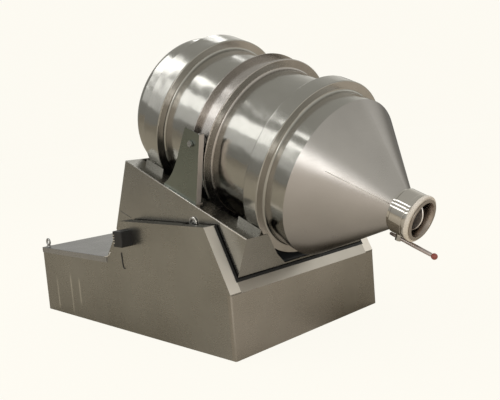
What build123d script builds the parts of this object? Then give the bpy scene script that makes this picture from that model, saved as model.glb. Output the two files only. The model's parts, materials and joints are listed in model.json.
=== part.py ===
from build123d import *
import math
import os

os.makedirs("parts", exist_ok=True)

# Two-dimensional motion mixer with a 1000 litre drum, lengths in millimetres, angles in degrees.
# The origin is the centre of the cabinet's footprint on the floor. +X points to the discharge
# end, +Z is up. "right" is the -Y side and "left" the +Y side.
# The cradle carries its own axes: "along" runs down the drum's axis to the port, "rise" is
# square to it, and both start at the swing pivot.

# Cabinet
base_length = 2064.0
cabinet_clearance = 95.0
sheet = 3.0
deck_height = 475.0
cheek_height = 720.0
front_wall_height = 360.0
cheek_rear_foot = 886.0
cheek_rear_top = 1082.0
cheek_front_set_back = 174.0
flange_width = 80.0
deck_lip = 38.0
deck_fold = 60.0
deck_edge = 2.0
front_lip = 60.0
corner_return = 30.0
corner_radius = 10.0
seam = 0.3
louvre_length = 220.0
louvre_height = 8.0
louvre_pitch = 26.0
louvre_count = 9
louvre_inset = 260.0
louvre_rise = 60.0
frame_tube = 60.0
frame_wall = 4.0
anchor_hole_radius = 9.0
anchor_inset = 110.0
anchor_pad = 120.0
anchor_pad_thickness = 12.0
post_width = 80.0
post_length = 130.0
post_inset = 65.0
post_head_thickness = 14.0
post_head_margin = 5.0
post_wall = 6.0
post_corner = 8.0
trim_grip = 6.0
trim_proud = 10.0
trim_thickness = 9.0

# Swing pivot
pivot_set_back = 367.0
pivot_height = 724.0
pivot_shaft_radius = 30.0
running_clearance = 0.05
bearing_width = 70.0
bearing_body_radius = 62.0
bearing_centre_height = 68.0
bearing_foot_length = 230.0
bearing_foot_thickness = 26.0
bearing_bolt_inset = 25.0
bearing_bolt_radius = 10.0
bolt_head_height = 12.0
side_count = 6
pivot_boss_radius = 28.0
pivot_boss_height = 11.0
pivot_boss_land = 8.0
pivot_boss_recess = 6.0
pivot_collar_radius = 52.0
pivot_collar_length = 12.0
journal_past = 10.0
turned_chamfer = 2.0
screw_head_radius = 10.0
screw_head_height = 5.0
boss_notch_length = 130.0
boss_notch_depth = 26.0

# Cradle
tilt = 22.8
cradle_clearance = 29.0
plate = 6.0
rail_width = 125.0
rail_rise = 99.0
rail_lip = 40.0
cradle_front = 418.0
cradle_rear = -720.0
side_grip = 10.0
side_taper = 103.0
belly_depth = 390.0
belly_front = -250.0
belly_rake = 60.0
notch_clearance = 16.0
notch_corner = 10.0
beam_height = 54.0
beam_clearance = 6.5

# Drum
shell_radius = 467.0
ring_height = 59.0
rail_gap = 12.5
shell_wall = 5.0
shell_rear = -760.0
shell_front = 528.0
cone_front = 919.0
neck_radius = 112.0
bore_radius = 96.5
head_depth = 95.0
head_knuckle = 60.0
rear_ring_start = -628.0
rear_ring_width = 140.0
front_ring_start = 285.0
front_ring_width = 102.0
thrust_ring_start = -180.0
thrust_ring_width = 138.0
thrust_groove_depth = 29.0
ring_edge = 6.0
ring_rim = 12.0
ring_web = 10.0
weld_leg = 14.0
weld_toe = 1.0
flight_height = 70.0
flight_thickness = 5.0
flight_count = 3
flight_inset = 50.0

# Discharge valve
valve_body_start = 935.0
valve_body_length = 80.0
valve_body_radius = 124.0
valve_seat_length = 17.0
valve_seat_radius = 128.0
valve_front_length = 33.0
valve_front_radius = 122.0
stem_radius = 9.0
stem_reach = 164.0
stem_station = 30.0
stem_boss_radius = 20.0
stem_boss_height = 7.5
stem_boss_root = 6.0
stem_foot_cover = 12.0
port_chamfer = 5.0
seat_round = 5.0
front_ring_round = 4.0
disc_thickness = 9.0
disc_clearance = 0.8
disc_chamfer = 3.0
lever_length = 205.0
lever_radius = 7.5
lever_hub_radius = 17.0
lever_hub_height = 30.0
lever_hub_gap = 0.5
knob_radius = 17.0
knob_flat = 3.0

# Rollers
roller_radius = 80.0
roller_angle = 40.0
roller_width = 58.0
roller_web = 18.0
roller_rim = 16.0
roller_hub = 16.0
front_roller_offset = 43.0
rear_roller_offset = 70.0
shaft_radius = 22.0
shaft_past = 3.0
block_width = 34.0
block_length = 150.0
block_gap = 3.0
block_foot = 16.0
block_body_radius = 44.0
block_bolt_inset = 18.0
block_bolt_radius = 7.0
block_bolt_head_radius = 12.0
block_bolt_head = 9.0
roller_gap = 0.3
guard_height = 32.0
guard_thickness = 5.0
guard_inset = 14.0
stop_roller_radius = 53.0
stop_roller_width = 22.0
stop_axle_radius = 12.0
stop_axle_past = 4.0
stop_nut_radius = 19.0
stop_nut_height = 12.0
stop_hub_wall = 8.0
stop_rim_inset = 17.0
stop_above_axis = 22.0
stop_spacing = 41.0
bracket_inset = 20.0
bracket_above_axis = 97.0
bracket_foot_rear = -329.0
bracket_foot_front = -23.0
bracket_top_rear = -176.0
bracket_top_front = -51.0
bracket_flange = 29.0
bracket_foot_thickness = 8.0
bracket_foot_width = 50.0
bracket_bolt_inset = 40.0
bracket_bolt_reach = 24.0
bracket_bolt_head_radius = 11.0
bracket_bolt_head = 8.0

right = -1
left = 1

# The rings set the width of the cradle and the cabinet, and the drum's height over the rails
ring_radius = shell_radius + ring_height
cradle_half_width = ring_radius + cradle_clearance
half_width = cradle_half_width + cabinet_clearance
post_centre_y = cradle_half_width - post_inset
rail_inner = cradle_half_width - rail_width
axis_rise = rail_rise + math.sqrt(ring_radius**2 - (rail_inner - rail_gap) ** 2)


def direction_along():
    """Unit vector down the drum's axis, towards the port."""
    return Vector(math.cos(math.radians(tilt)), 0, -math.sin(math.radians(tilt)))


def direction_rise():
    """Unit vector square to the drum's axis, away from the cabinet."""
    return Vector(math.sin(math.radians(tilt)), 0, math.cos(math.radians(tilt)))


front_x = base_length / 2
rear_x = -base_length / 2
pivot_x = front_x - pivot_set_back
pivot = Vector(pivot_x, 0, pivot_height)


def cradle_point(along, y, rise):
    """A place given in the cradle's own axes."""
    return pivot + direction_along() * along + Vector(0, y, 0) + direction_rise() * rise


def side_view(y=0.0):
    """Cradle plane seen from the right: local x is along, local y is rise, normal is -Y."""
    return Plane(origin=pivot + Vector(0, y, 0), x_dir=direction_along(), z_dir=(0, -1, 0))


def cross_view(along):
    """Cradle plane square to the axis: local x is Y, local y is rise, normal is along."""
    return Plane(origin=cradle_point(along, 0, 0), x_dir=(0, 1, 0), z_dir=direction_along())


def top_view(rise):
    """Cradle plane parallel to the rails: local x is along, local y is Y, normal is rise."""
    return Plane(origin=cradle_point(0, 0, rise), x_dir=direction_along(), z_dir=direction_rise())


def base_side(y=0.0):
    """Upright plane seen from the right: local x is X, local y is Z, normal is -Y."""
    return Plane(origin=(0, y, 0), x_dir=(1, 0, 0), z_dir=(0, -1, 0))


def save(builder, name):
    """Labels a finished piece and writes its file."""
    builder.part.label = name
    export_step(builder.part, "parts/" + name + ".step")


drum_axis = Axis(cradle_point(0, 0, axis_rise), direction_along())

# Cabinet side pans: one sheet each, its edges folded inwards
slope_run = cheek_front_set_back / (cheek_height - front_wall_height)
wall_back = front_x - sheet
skin_front = front_x - corner_return - seam
deck_seat = deck_height - sheet
cheek_rear_foot_x = rear_x + cheek_rear_foot
cheek_rear_top_x = rear_x + cheek_rear_top
cheek_front_x = front_x - cheek_front_set_back
wall_join = front_wall_height + sheet / slope_run
rear_slope = (cheek_rear_top - cheek_rear_foot) / (cheek_height - deck_seat)
slope_angle = math.degrees(math.atan2(1, slope_run))
fold_shift = sheet / math.sin(math.radians(slope_angle))
rear_shift = sheet * math.hypot(1, rear_slope)


def side_outline():
    """Outline of a cabinet side, floor to cheek."""
    Polyline(
        (rear_x, 0),
        (rear_x, deck_seat),
        (cheek_rear_foot_x, deck_seat),
        (cheek_rear_top_x, cheek_height),
        (cheek_front_x, cheek_height),
        (wall_back, wall_join),
        (wall_back, front_wall_height + seam),
        (skin_front, front_wall_height + seam),
        (skin_front, 0),
        close=True,
    )


def side_hollow():
    """What the folds leave open behind the skin; it runs out past the rear, front and foot."""
    past = 2 * sheet
    Polyline(
        (rear_x - past, -past),
        (rear_x - past, deck_seat - sheet),
        (cheek_rear_foot_x + rear_shift - sheet * rear_slope, deck_seat - sheet),
        (cheek_rear_top_x + rear_shift - sheet * rear_slope, cheek_height - sheet),
        (cheek_front_x - fold_shift + sheet * slope_run, cheek_height - sheet),
        (wall_back - fold_shift, wall_join),
        (wall_back - fold_shift + (wall_join + past) * slope_run, -past),
        close=True,
    )


with BuildPart() as cabinet_side_right:
    with BuildSketch(base_side(-half_width + flange_width)):
        with BuildLine():
            side_outline()
        make_face()
    extrude(amount=flange_width)
    with BuildSketch(base_side(-half_width + flange_width)):
        with BuildLine():
            side_hollow()
        make_face()
    extrude(amount=flange_width - sheet, mode=Mode.SUBTRACT)
    with BuildSketch(Plane.XY.offset(cheek_height)):
        with Locations((pivot_x, -half_width + flange_width)):
            Rectangle(boss_notch_length, 2 * boss_notch_depth)
    extrude(amount=-2 * sheet, mode=Mode.SUBTRACT)
save(cabinet_side_right, "cabinet_side_right")

with BuildPart() as cabinet_side_left:
    mirror(cabinet_side_right.part, about=Plane.XZ)
save(cabinet_side_left, "cabinet_side_left")

# Cabinet front: a wall with rounded corner returns and a lip folded back over the opening
lip_top = front_wall_height + front_lip
lip_top_x = front_x - front_lip * slope_run
lip_half = half_width - flange_width - seam
lip_root_drop = sheet * (1 - math.sin(math.radians(slope_angle))) / math.cos(math.radians(slope_angle))
with BuildPart() as cabinet_front:
    with BuildSketch(Plane.XY):
        with BuildLine():
            FilletPolyline(
                (front_x - corner_return, -half_width),
                (front_x, -half_width),
                (front_x, half_width),
                (front_x - corner_return, half_width),
                radius=corner_radius,
            )
            Line((front_x - corner_return, half_width), (front_x - corner_return, half_width - sheet))
            FilletPolyline(
                (front_x - corner_return, half_width - sheet),
                (wall_back, half_width - sheet),
                (wall_back, -half_width + sheet),
                (front_x - corner_return, -half_width + sheet),
                radius=corner_radius - sheet,
            )
            Line((front_x - corner_return, -half_width + sheet), (front_x - corner_return, -half_width))
        make_face()
    extrude(amount=front_wall_height)
    with BuildSketch(base_side(lip_half)):
        with BuildLine():
            Polyline(
                (front_x, front_wall_height),
                (lip_top_x, lip_top),
                (lip_top_x - sheet * math.sin(math.radians(slope_angle)),
                 lip_top - sheet * math.cos(math.radians(slope_angle))),
                (wall_back, front_wall_height - lip_root_drop),
                (wall_back, front_wall_height - sheet),
                (front_x, front_wall_height - sheet),
                close=True,
            )
        make_face()
    extrude(amount=2 * lip_half)
save(cabinet_front, "cabinet_front")

# Cabinet rear wall, between the two sides
rear_wall_half = half_width - sheet - seam
with BuildPart() as cabinet_rear:
    with BuildSketch(Plane.YZ.offset(rear_x)):
        with Locations((0, (deck_seat - sheet) / 2 + sheet)):
            Rectangle(2 * rear_wall_half, deck_seat - 3 * sheet)
    extrude(amount=sheet)
    with BuildSketch(Plane.YZ.offset(rear_x)):
        with GridLocations(0, louvre_pitch, 1, louvre_count):
            with Locations((rear_wall_half - louvre_inset, deck_height / 2 + louvre_rise)):
                SlotOverall(louvre_length, louvre_height)
    extrude(amount=sheet, mode=Mode.SUBTRACT)
save(cabinet_rear, "cabinet_rear")

# Deck over the rear compartment: a tray upside down, its lips outside the cabinet's skins
deck_past = sheet + seam
deck_length = cheek_rear_foot + deck_past
deck_half = half_width + deck_past
deck_front_gap = sheet + seam


def deck_outline(inset):
    """The deck seen from above, made smaller by an inset at its rear and sides."""
    with Locations((rear_x - deck_past + inset, 0)):
        Rectangle(deck_length - inset, 2 * (deck_half - inset), align=(Align.MIN, Align.CENTER))


with BuildPart() as deck_panel:
    with BuildSketch(Plane.XY.offset(deck_height - deck_lip)):
        deck_outline(0)
        with Locations((cheek_rear_foot_x, half_width), (cheek_rear_foot_x, -half_width)):
            Rectangle(2 * deck_front_gap, 2 * (flange_width + seam), mode=Mode.SUBTRACT)
    extrude(amount=deck_lip)
    fillet(deck_panel.edges().filter_by(Axis.Z).group_by(Axis.X)[0], deck_edge)
    with BuildSketch(Plane.XY.offset(deck_height - deck_lip)):
        deck_outline(sheet)
    extrude(amount=deck_lip - sheet, mode=Mode.SUBTRACT)
    deck_rear_and_sides = deck_panel.faces().sort_by(Axis.Z)[-1].edges().sort_by(Axis.X)[:5]
    fillet(deck_rear_and_sides, deck_edge)
    with BuildSketch(Plane.XY.offset(deck_seat)):
        with Locations((cheek_rear_foot_x - sheet / 2, 0)):
            Rectangle(sheet, 2 * (half_width - flange_width - seam))
    extrude(amount=-deck_fold)
save(deck_panel, "deck_panel")

# Well wall: closes the rear compartment under the deck fold
with BuildPart() as well_panel:
    with BuildSketch(Plane.YZ.offset(cheek_rear_foot_x - sheet)):
        with Locations((0, frame_tube)):
            Rectangle(2 * rear_wall_half, deck_seat - sheet - frame_tube, align=(Align.CENTER, Align.MIN))
    extrude(amount=-sheet)
save(well_panel, "well_panel")

# Base frame: a ring of channels, open below, with cross members and anchor pads
crank_advance = 185.0
crank_height = 205.0
crank_x = pivot_x + crank_advance
frame_half = half_width - sheet - seam
frame_rear = rear_x + sheet + seam
frame_front = wall_back - corner_radius
drive_member_offset = 70.0
anchor_x = front_x - anchor_inset
anchor_y = half_width - anchor_inset


def cross_member(x, width):
    """One cross member of the base frame, seen from above."""
    with Locations((x, 0)):
        Rectangle(width, 2 * frame_half)


with BuildPart() as base_frame:
    with BuildSketch(Plane.XY):
        with Locations(((frame_rear + frame_front) / 2, 0)):
            Rectangle(frame_front - frame_rear, 2 * frame_half)
            Rectangle(
                frame_front - frame_rear - 2 * frame_tube,
                2 * frame_half - 2 * frame_tube,
                mode=Mode.SUBTRACT,
            )
        cross_member(cheek_rear_foot_x - frame_tube / 2, frame_tube)
        cross_member(pivot_x, post_length)
        cross_member(crank_x - drive_member_offset, frame_tube)
        cross_member(crank_x + drive_member_offset, frame_tube)
    extrude(amount=frame_tube)
    offset(amount=-frame_wall, openings=base_frame.faces().sort_by(Axis.Z)[0])
    with BuildSketch(Plane.XY):
        with Locations(
            (anchor_x, anchor_y), (anchor_x, -anchor_y), (-anchor_x, anchor_y), (-anchor_x, -anchor_y)
        ):
            Rectangle(anchor_pad, anchor_pad)
            Circle(anchor_hole_radius, mode=Mode.SUBTRACT)
    extrude(amount=anchor_pad_thickness)
save(base_frame, "base_frame")

# Pivot posts, each a square tube with a foot and a head plate
bearing_foot_z = pivot_height - bearing_centre_height
post_head_z = bearing_foot_z - post_head_thickness
bearing_start_y = post_centre_y - bearing_width / 2
bolt_x = bearing_foot_length / 2 - bearing_bolt_inset
with BuildPart() as pivot_post_right:
    with BuildSketch(Plane.XY.offset(frame_tube)):
        with Locations((pivot_x, -post_centre_y)):
            RectangleRounded(post_length, post_width, post_corner)
            RectangleRounded(
                post_length - 2 * post_wall,
                post_width - 2 * post_wall,
                post_corner - post_wall,
                mode=Mode.SUBTRACT,
            )
    extrude(amount=post_head_z - frame_tube)
    with BuildSketch(Plane.XY.offset(post_head_z)):
        with Locations((pivot_x, -post_centre_y)):
            RectangleRounded(bearing_foot_length + 2 * post_head_margin, post_width, post_head_margin)
        with Locations((pivot_x - bolt_x, -post_centre_y), (pivot_x + bolt_x, -post_centre_y)):
            Circle(bearing_bolt_radius, mode=Mode.SUBTRACT)
    extrude(amount=post_head_thickness)
save(pivot_post_right, "pivot_post_right")

with BuildPart() as pivot_post_left:
    mirror(pivot_post_right.part, about=Plane.XZ)
save(pivot_post_left, "pivot_post_left")

# Pivot bearings: pillow blocks with a bore for the pivot shafts
with BuildPart() as pivot_bearing_right:
    with BuildSketch(base_side(-bearing_start_y)):
        with Locations((pivot_x, pivot_height)):
            Circle(bearing_body_radius)
        with BuildLine():
            Polyline(
                (pivot_x - bearing_body_radius, bearing_foot_z),
                (pivot_x - bearing_body_radius, pivot_height),
                (pivot_x + bearing_body_radius, pivot_height),
                (pivot_x + bearing_body_radius, bearing_foot_z),
                close=True,
            )
        make_face()
        with Locations((pivot_x, bearing_foot_z)):
            Rectangle(bearing_foot_length, bearing_foot_thickness, align=(Align.CENTER, Align.MIN))
        with Locations((pivot_x, pivot_height)):
            Circle(pivot_shaft_radius + running_clearance, mode=Mode.SUBTRACT)
    extrude(amount=bearing_width)
    with Locations(Plane.XY.offset(bearing_foot_z + bearing_foot_thickness)):
        with Locations((pivot_x - bolt_x, -post_centre_y), (pivot_x + bolt_x, -post_centre_y)):
            Hole(bearing_bolt_radius, bearing_foot_thickness)
save(pivot_bearing_right, "pivot_bearing_right")

with BuildPart() as pivot_bearing_left:
    mirror(pivot_bearing_right.part, about=Plane.XZ)
save(pivot_bearing_left, "pivot_bearing_left")


bearing_seats = [
    (pivot_x + offset_x, side * post_centre_y) for side in (right, left) for offset_x in (-bolt_x, bolt_x)
]
with BuildPart() as bearing_bolts:
    with BuildSketch(Plane.XY.offset(bearing_foot_z + bearing_foot_thickness)):
        with Locations(bearing_seats):
            RegularPolygon(2 * bearing_bolt_radius, side_count)
    extrude(amount=bolt_head_height)
    with BuildSketch(Plane.XY.offset(post_head_z)):
        with Locations(bearing_seats):
            Circle(bearing_bolt_radius)
    extrude(amount=bearing_foot_thickness + post_head_thickness)
save(bearing_bolts, "bearing_bolts")

# Rubber trim round the front opening: it grips the folded edges of the slope
slope = Plane(
    origin=(front_x, 0, front_wall_height),
    x_dir=(0, 1, 0),
    z_dir=(math.sin(math.radians(slope_angle)), 0, math.cos(math.radians(slope_angle))),
)
slope_lip = front_lip / math.sin(math.radians(slope_angle))
slope_top = (cheek_height - front_wall_height) / math.sin(math.radians(slope_angle))
flange_edge = half_width - flange_width


def opening_edge(reach):
    """Opening of the slope, made smaller by the given reach and open at its top."""
    with Locations((0, slope_lip + reach)):
        Rectangle(
            2 * (flange_edge - reach), slope_top - sheet - slope_lip - reach, align=(Align.CENTER, Align.MIN)
        )


with BuildPart() as opening_trim:
    with BuildSketch(slope.offset(sheet)):
        opening_edge(-trim_grip)
    extrude(amount=-trim_thickness)
    with BuildSketch(slope):
        with Locations((0, slope_lip - trim_grip)):
            Rectangle(4 * flange_edge, slope_top, align=(Align.CENTER, Align.MIN))
        opening_edge(0)
        with Locations((0, slope_lip)):
            Rectangle(2 * flange_edge, slope_top, align=(Align.CENTER, Align.MIN), mode=Mode.SUBTRACT)
    extrude(amount=-sheet, mode=Mode.SUBTRACT)
    with BuildSketch(slope.offset(sheet)):
        opening_edge(trim_proud)
        with Locations((0, slope_lip + trim_proud)):
            Rectangle(2 * (flange_edge - trim_proud), slope_top, align=(Align.CENTER, Align.MIN))
    extrude(amount=-trim_thickness, mode=Mode.SUBTRACT)
save(opening_trim, "opening_trim")

# Lifting eyes on the rear corners of the deck
eye_set_back = 34.0
eye_inset = 32.0
eye_x = rear_x + eye_set_back
eye_y = half_width - eye_inset
eye_ring_radius = 22.0
eye_wire_radius = 7.0
eye_collar_radius = 18.0
eye_collar_height = 10.0
eye_collar_taper = 12.0
eye_neck = 4.0
with BuildPart() as lifting_eyes:
    for eye_side in (right, left):
        with BuildSketch(Plane(origin=(eye_x, eye_side * eye_y, deck_height))):
            Circle(eye_collar_radius)
        extrude(amount=eye_collar_height, taper=eye_collar_taper)
        ring_rise = deck_height + eye_collar_height + eye_neck + eye_ring_radius
        ring_centre = (eye_x, eye_side * eye_y, ring_rise)
        with BuildSketch(Plane(origin=ring_centre)):
            with Locations((eye_ring_radius, 0)):
                Circle(eye_wire_radius)
        revolve(axis=Axis(ring_centre, (0, 1, 0)))
save(lifting_eyes, "lifting_eyes")

# Power socket on the right side: a box with a row of contact ribs on its rear face
socket_set_back = 964.0
socket_x = front_x - socket_set_back
socket_length = 94.0
socket_depth = 76.0
socket_drop = 150.0
socket_foot = cheek_height - socket_drop
socket_height = 100.0
socket_corner = 8.0
socket_edge = 5.0
contact_count = 6
contact_margin = 14.0
contact_thickness = 6.0
contact_height = 8.0
with BuildPart() as power_socket:
    with BuildSketch(base_side(-half_width)):
        with Locations((socket_x + socket_length / 2, socket_foot + socket_height / 2)):
            RectangleRounded(socket_length, socket_height, socket_corner)
    extrude(amount=socket_depth)
    fillet(power_socket.faces().sort_by(Axis.Y)[0].edges(), socket_edge)
    with BuildSketch(Plane.YZ.offset(socket_x)):
        with Locations((-half_width - socket_depth / 2, socket_foot + socket_height / 2)):
            with GridLocations(0, socket_height / (contact_count + 1), 1, contact_count):
                Rectangle(socket_depth - 2 * contact_margin, contact_thickness)
    extrude(amount=-contact_height)
save(power_socket, "power_socket")

# Rollers: places worked out from the rings that run on them
roller_reach = ring_radius + roller_gap + roller_radius
roller_y = roller_reach * math.sin(math.radians(roller_angle))
roller_rise = axis_rise - roller_reach * math.cos(math.radians(roller_angle))
front_station = front_ring_start + front_roller_offset
rear_station = rear_ring_start + rear_roller_offset
block_reach = roller_width / 2 + block_gap
beam_width = 2 * (block_reach + block_width)
beam_top = roller_rise - roller_radius - beam_clearance
side_depth_front = side_grip - beam_top
side_depth_rear = side_depth_front + side_taper

# Cradle sides: an upright plate with the rail folded over its top
inner_face = cradle_half_width - plate
rail_length = cradle_front - cradle_rear - 2 * plate


def side_bottom(along):
    """Rise of the cradle side's lower edge, which drops towards the rear."""
    share = (cradle_front - along) / (cradle_front - cradle_rear)
    return -side_depth_front - share * (side_depth_rear - side_depth_front)


with BuildPart() as cradle_side_right:
    with BuildSketch(side_view(-inner_face)):
        with BuildLine():
            Polyline(
                (cradle_rear, side_bottom(cradle_rear)),
                (cradle_rear, rail_rise),
                (cradle_front, rail_rise),
                (cradle_front, side_bottom(cradle_front)),
                close=True,
            )
        make_face()
        Circle(pivot_boss_radius, mode=Mode.SUBTRACT)
    extrude(amount=plate)
    with BuildSketch(cross_view(cradle_rear + plate)):
        with Locations((-inner_face, rail_rise)):
            Rectangle(rail_width - plate, plate, align=(Align.MIN, Align.MAX))
        with Locations((-rail_inner, rail_rise)):
            Rectangle(plate, rail_lip, align=(Align.MAX, Align.MAX))
    extrude(amount=rail_length)
save(cradle_side_right, "cradle_side_right")

with BuildPart() as cradle_side_left:
    mirror(cradle_side_right.part, about=Plane.XZ)
save(cradle_side_left, "cradle_side_left")

# Cradle end panels, cut out for the drum
notch_inset = 40.0
notch_shoulder = 120.0
notch_chamfer = 90.0
notch_top_half = rail_inner - notch_inset
notch_knee_half = notch_top_half - notch_shoulder
notch_foot_half = notch_knee_half - notch_chamfer
notch_land = 15.0
notch_knee_height = 77.0
notch_foot_rise = side_bottom(cradle_front) + notch_land
notch_knee_rise = notch_foot_rise + notch_knee_height
with BuildPart() as cradle_front_panel:
    with BuildSketch(cross_view(cradle_front)):
        with Locations((0, rail_rise)):
            Rectangle(2 * inner_face, rail_rise - side_bottom(cradle_front), align=(Align.CENTER, Align.MAX))
        with BuildLine():
            FilletPolyline(
                (-notch_top_half, rail_rise),
                (-notch_knee_half, notch_knee_rise),
                (-notch_foot_half, notch_foot_rise),
                (notch_foot_half, notch_foot_rise),
                (notch_knee_half, notch_knee_rise),
                (notch_top_half, rail_rise),
                radius=notch_corner,
            )
            Line((-notch_top_half, rail_rise), (notch_top_half, rail_rise))
        make_face(mode=Mode.SUBTRACT)
    extrude(amount=-plate)
save(cradle_front_panel, "cradle_front_panel")

with BuildPart() as cradle_rear_panel:
    with BuildSketch(cross_view(cradle_rear)):
        with Locations((0, rail_rise)):
            Rectangle(
                2 * inner_face,
                rail_rise - side_bottom(cradle_rear + plate),
                align=(Align.CENTER, Align.MAX),
            )
        with Locations((0, axis_rise)):
            Circle(shell_radius + notch_clearance, mode=Mode.SUBTRACT)
    extrude(amount=plate)
save(cradle_rear_panel, "cradle_rear_panel")

# Belly: a tray welded under the rear of the cradle, it holds the drum drive
belly_floor_front = belly_front - belly_rake
with BuildPart() as belly_tray:
    with BuildSketch(side_view(cradle_half_width)):
        with BuildLine():
            Polyline(
                (cradle_rear, side_bottom(cradle_rear)),
                (belly_front, side_bottom(belly_front)),
                (belly_floor_front, -belly_depth),
                (cradle_rear, -belly_depth),
                close=True,
            )
        make_face()
    extrude(amount=2 * cradle_half_width)
    offset(amount=-sheet, openings=belly_tray.faces().sort_by(Axis(pivot, direction_rise()))[-1])
save(belly_tray, "belly_tray")

# Cross beams carry the roller bearings
stations = {"front": front_station, "rear": rear_station}
for place, station in stations.items():
    with BuildPart() as cross_beam:
        with BuildSketch(side_view(inner_face)):
            with Locations((station, beam_top - beam_height / 2)):
                RectangleRounded(beam_width, beam_height, 2 * plate)
                RectangleRounded(beam_width - 2 * plate, beam_height - 2 * plate, plate, mode=Mode.SUBTRACT)
        extrude(amount=2 * inner_face)
    save(cross_beam, "cross_beam_" + place)

# Pivot shafts: journal, collar against the cradle side, and the boss seen outside it
journal_end = bearing_start_y - journal_past
boss_face = cradle_half_width + pivot_boss_height
boss_floor = boss_face - pivot_boss_recess
boss_dish_radius = pivot_boss_radius - pivot_boss_land
collar_face = inner_face - pivot_collar_length
with BuildPart() as pivot_shaft_right:
    with BuildSketch(Plane(origin=pivot, x_dir=(0, -1, 0), z_dir=(1, 0, 0))):
        with BuildLine():
            Polyline(
                (journal_end, 0),
                (journal_end, pivot_shaft_radius - turned_chamfer),
                (journal_end + turned_chamfer, pivot_shaft_radius),
                (collar_face, pivot_shaft_radius),
                (collar_face, pivot_collar_radius),
                (inner_face, pivot_collar_radius),
                (inner_face, pivot_boss_radius),
                (boss_face - turned_chamfer, pivot_boss_radius),
                (boss_face, pivot_boss_radius - turned_chamfer),
                (boss_face, boss_dish_radius),
                (boss_floor, boss_dish_radius - turned_chamfer),
                (boss_floor, 0),
                close=True,
            )
        make_face()
    revolve(axis=Axis(pivot, (0, 1, 0)))
    with BuildSketch(side_view(-boss_floor)):
        RegularPolygon(screw_head_radius, side_count)
    extrude(amount=screw_head_height)
save(pivot_shaft_right, "pivot_shaft_right")

with BuildPart() as pivot_shaft_left:
    mirror(pivot_shaft_right.part, about=Plane.XZ)
save(pivot_shaft_left, "pivot_shaft_left")

# Roller bearing blocks: eight alike, in pairs round each roller
block_bolt_reach = block_length / 2 - block_bolt_inset
block_starts = [
    station + end
    for station in stations.values()
    for end in (-block_reach - block_width, block_reach)
]
with BuildPart() as roller_blocks:
    for start in block_starts:
        with BuildSketch(cross_view(start)):
            for side in (right, left):
                centre_y = side * roller_y
                with Locations((centre_y, roller_rise)):
                    Circle(block_body_radius)
                with Locations((centre_y, beam_top)):
                    Rectangle(2 * block_body_radius, roller_rise - beam_top, align=(Align.CENTER, Align.MIN))
                    Rectangle(block_length, block_foot, align=(Align.CENTER, Align.MIN))
                with Locations((centre_y, roller_rise)):
                    Circle(shaft_radius + running_clearance, mode=Mode.SUBTRACT)
        extrude(amount=block_width)
    block_seats = [
        (start + block_width / 2, side * roller_y + reach)
        for start in block_starts
        for side in (right, left)
        for reach in (-block_bolt_reach, block_bolt_reach)
    ]
    with BuildSketch(top_view(beam_top)):
        with Locations(block_seats):
            Circle(block_bolt_radius)
    extrude(amount=block_foot, mode=Mode.SUBTRACT)
save(roller_blocks, "roller_blocks")

with BuildPart() as block_bolts:
    with BuildSketch(top_view(beam_top)):
        with Locations(block_seats):
            Circle(block_bolt_radius)
    extrude(amount=block_foot)
    with BuildSketch(top_view(beam_top + block_foot)):
        with Locations(block_seats):
            RegularPolygon(block_bolt_head_radius, side_count)
    extrude(amount=block_bolt_head)
save(block_bolts, "block_bolts")

# Drum: everything on it is turned about one axis, so profiles are drawn as along and radius
drum_view = Plane(origin=cradle_point(0, 0, axis_rise), x_dir=direction_along(), z_dir=(0, -1, 0))
cone_slope = math.atan2(shell_radius - neck_radius, cone_front - shell_front)
cone_wall = shell_wall / math.cos(cone_slope)
shell_bore = shell_radius - shell_wall
with BuildPart() as drum_shell:
    with BuildSketch(drum_view):
        with Locations((shell_rear, shell_radius)):
            Rectangle(shell_front - shell_rear, shell_wall, align=(Align.MIN, Align.MAX))
    revolve(axis=drum_axis)
save(drum_shell, "drum_shell")

# Rear head: a shallow dish, a tight knuckle running into a wide crown
crown_turn = 2 * math.degrees(math.atan2(head_depth - head_knuckle, shell_radius - head_knuckle))
knuckle_turn = 90 - crown_turn
crown_radius = (shell_radius - head_knuckle) / math.cos(math.radians(knuckle_turn)) + head_knuckle
with BuildPart() as drum_rear_head:
    with BuildSketch(drum_view):
        with BuildLine():
            outer_knuckle = JernArc((shell_rear, shell_radius), (-1, 0), head_knuckle, knuckle_turn)
            outer_crown = JernArc(outer_knuckle @ 1, outer_knuckle % 1, crown_radius, crown_turn)
            inner_knuckle = JernArc(
                (shell_rear, shell_bore), (-1, 0), head_knuckle - shell_wall, knuckle_turn
            )
            inner_crown = JernArc(
                inner_knuckle @ 1, inner_knuckle % 1, crown_radius - shell_wall, crown_turn
            )
            Line(outer_knuckle @ 0, inner_knuckle @ 0)
            Line(outer_crown @ 1, inner_crown @ 1)
        make_face()
    revolve(axis=drum_axis)
save(drum_rear_head, "drum_rear_head")

# Cone towards the port
with BuildPart() as drum_cone:
    with BuildSketch(drum_view):
        with BuildLine():
            Polyline(
                (shell_front, shell_radius),
                (cone_front, neck_radius),
                (cone_front, neck_radius - cone_wall),
                (shell_front, shell_radius - cone_wall),
                close=True,
            )
        make_face()
    revolve(axis=drum_axis)
save(drum_cone, "drum_cone")

# Rings: channels rolled from plate, open towards the shell and welded to it at both feet
ring_seat = shell_radius + seam


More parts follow.
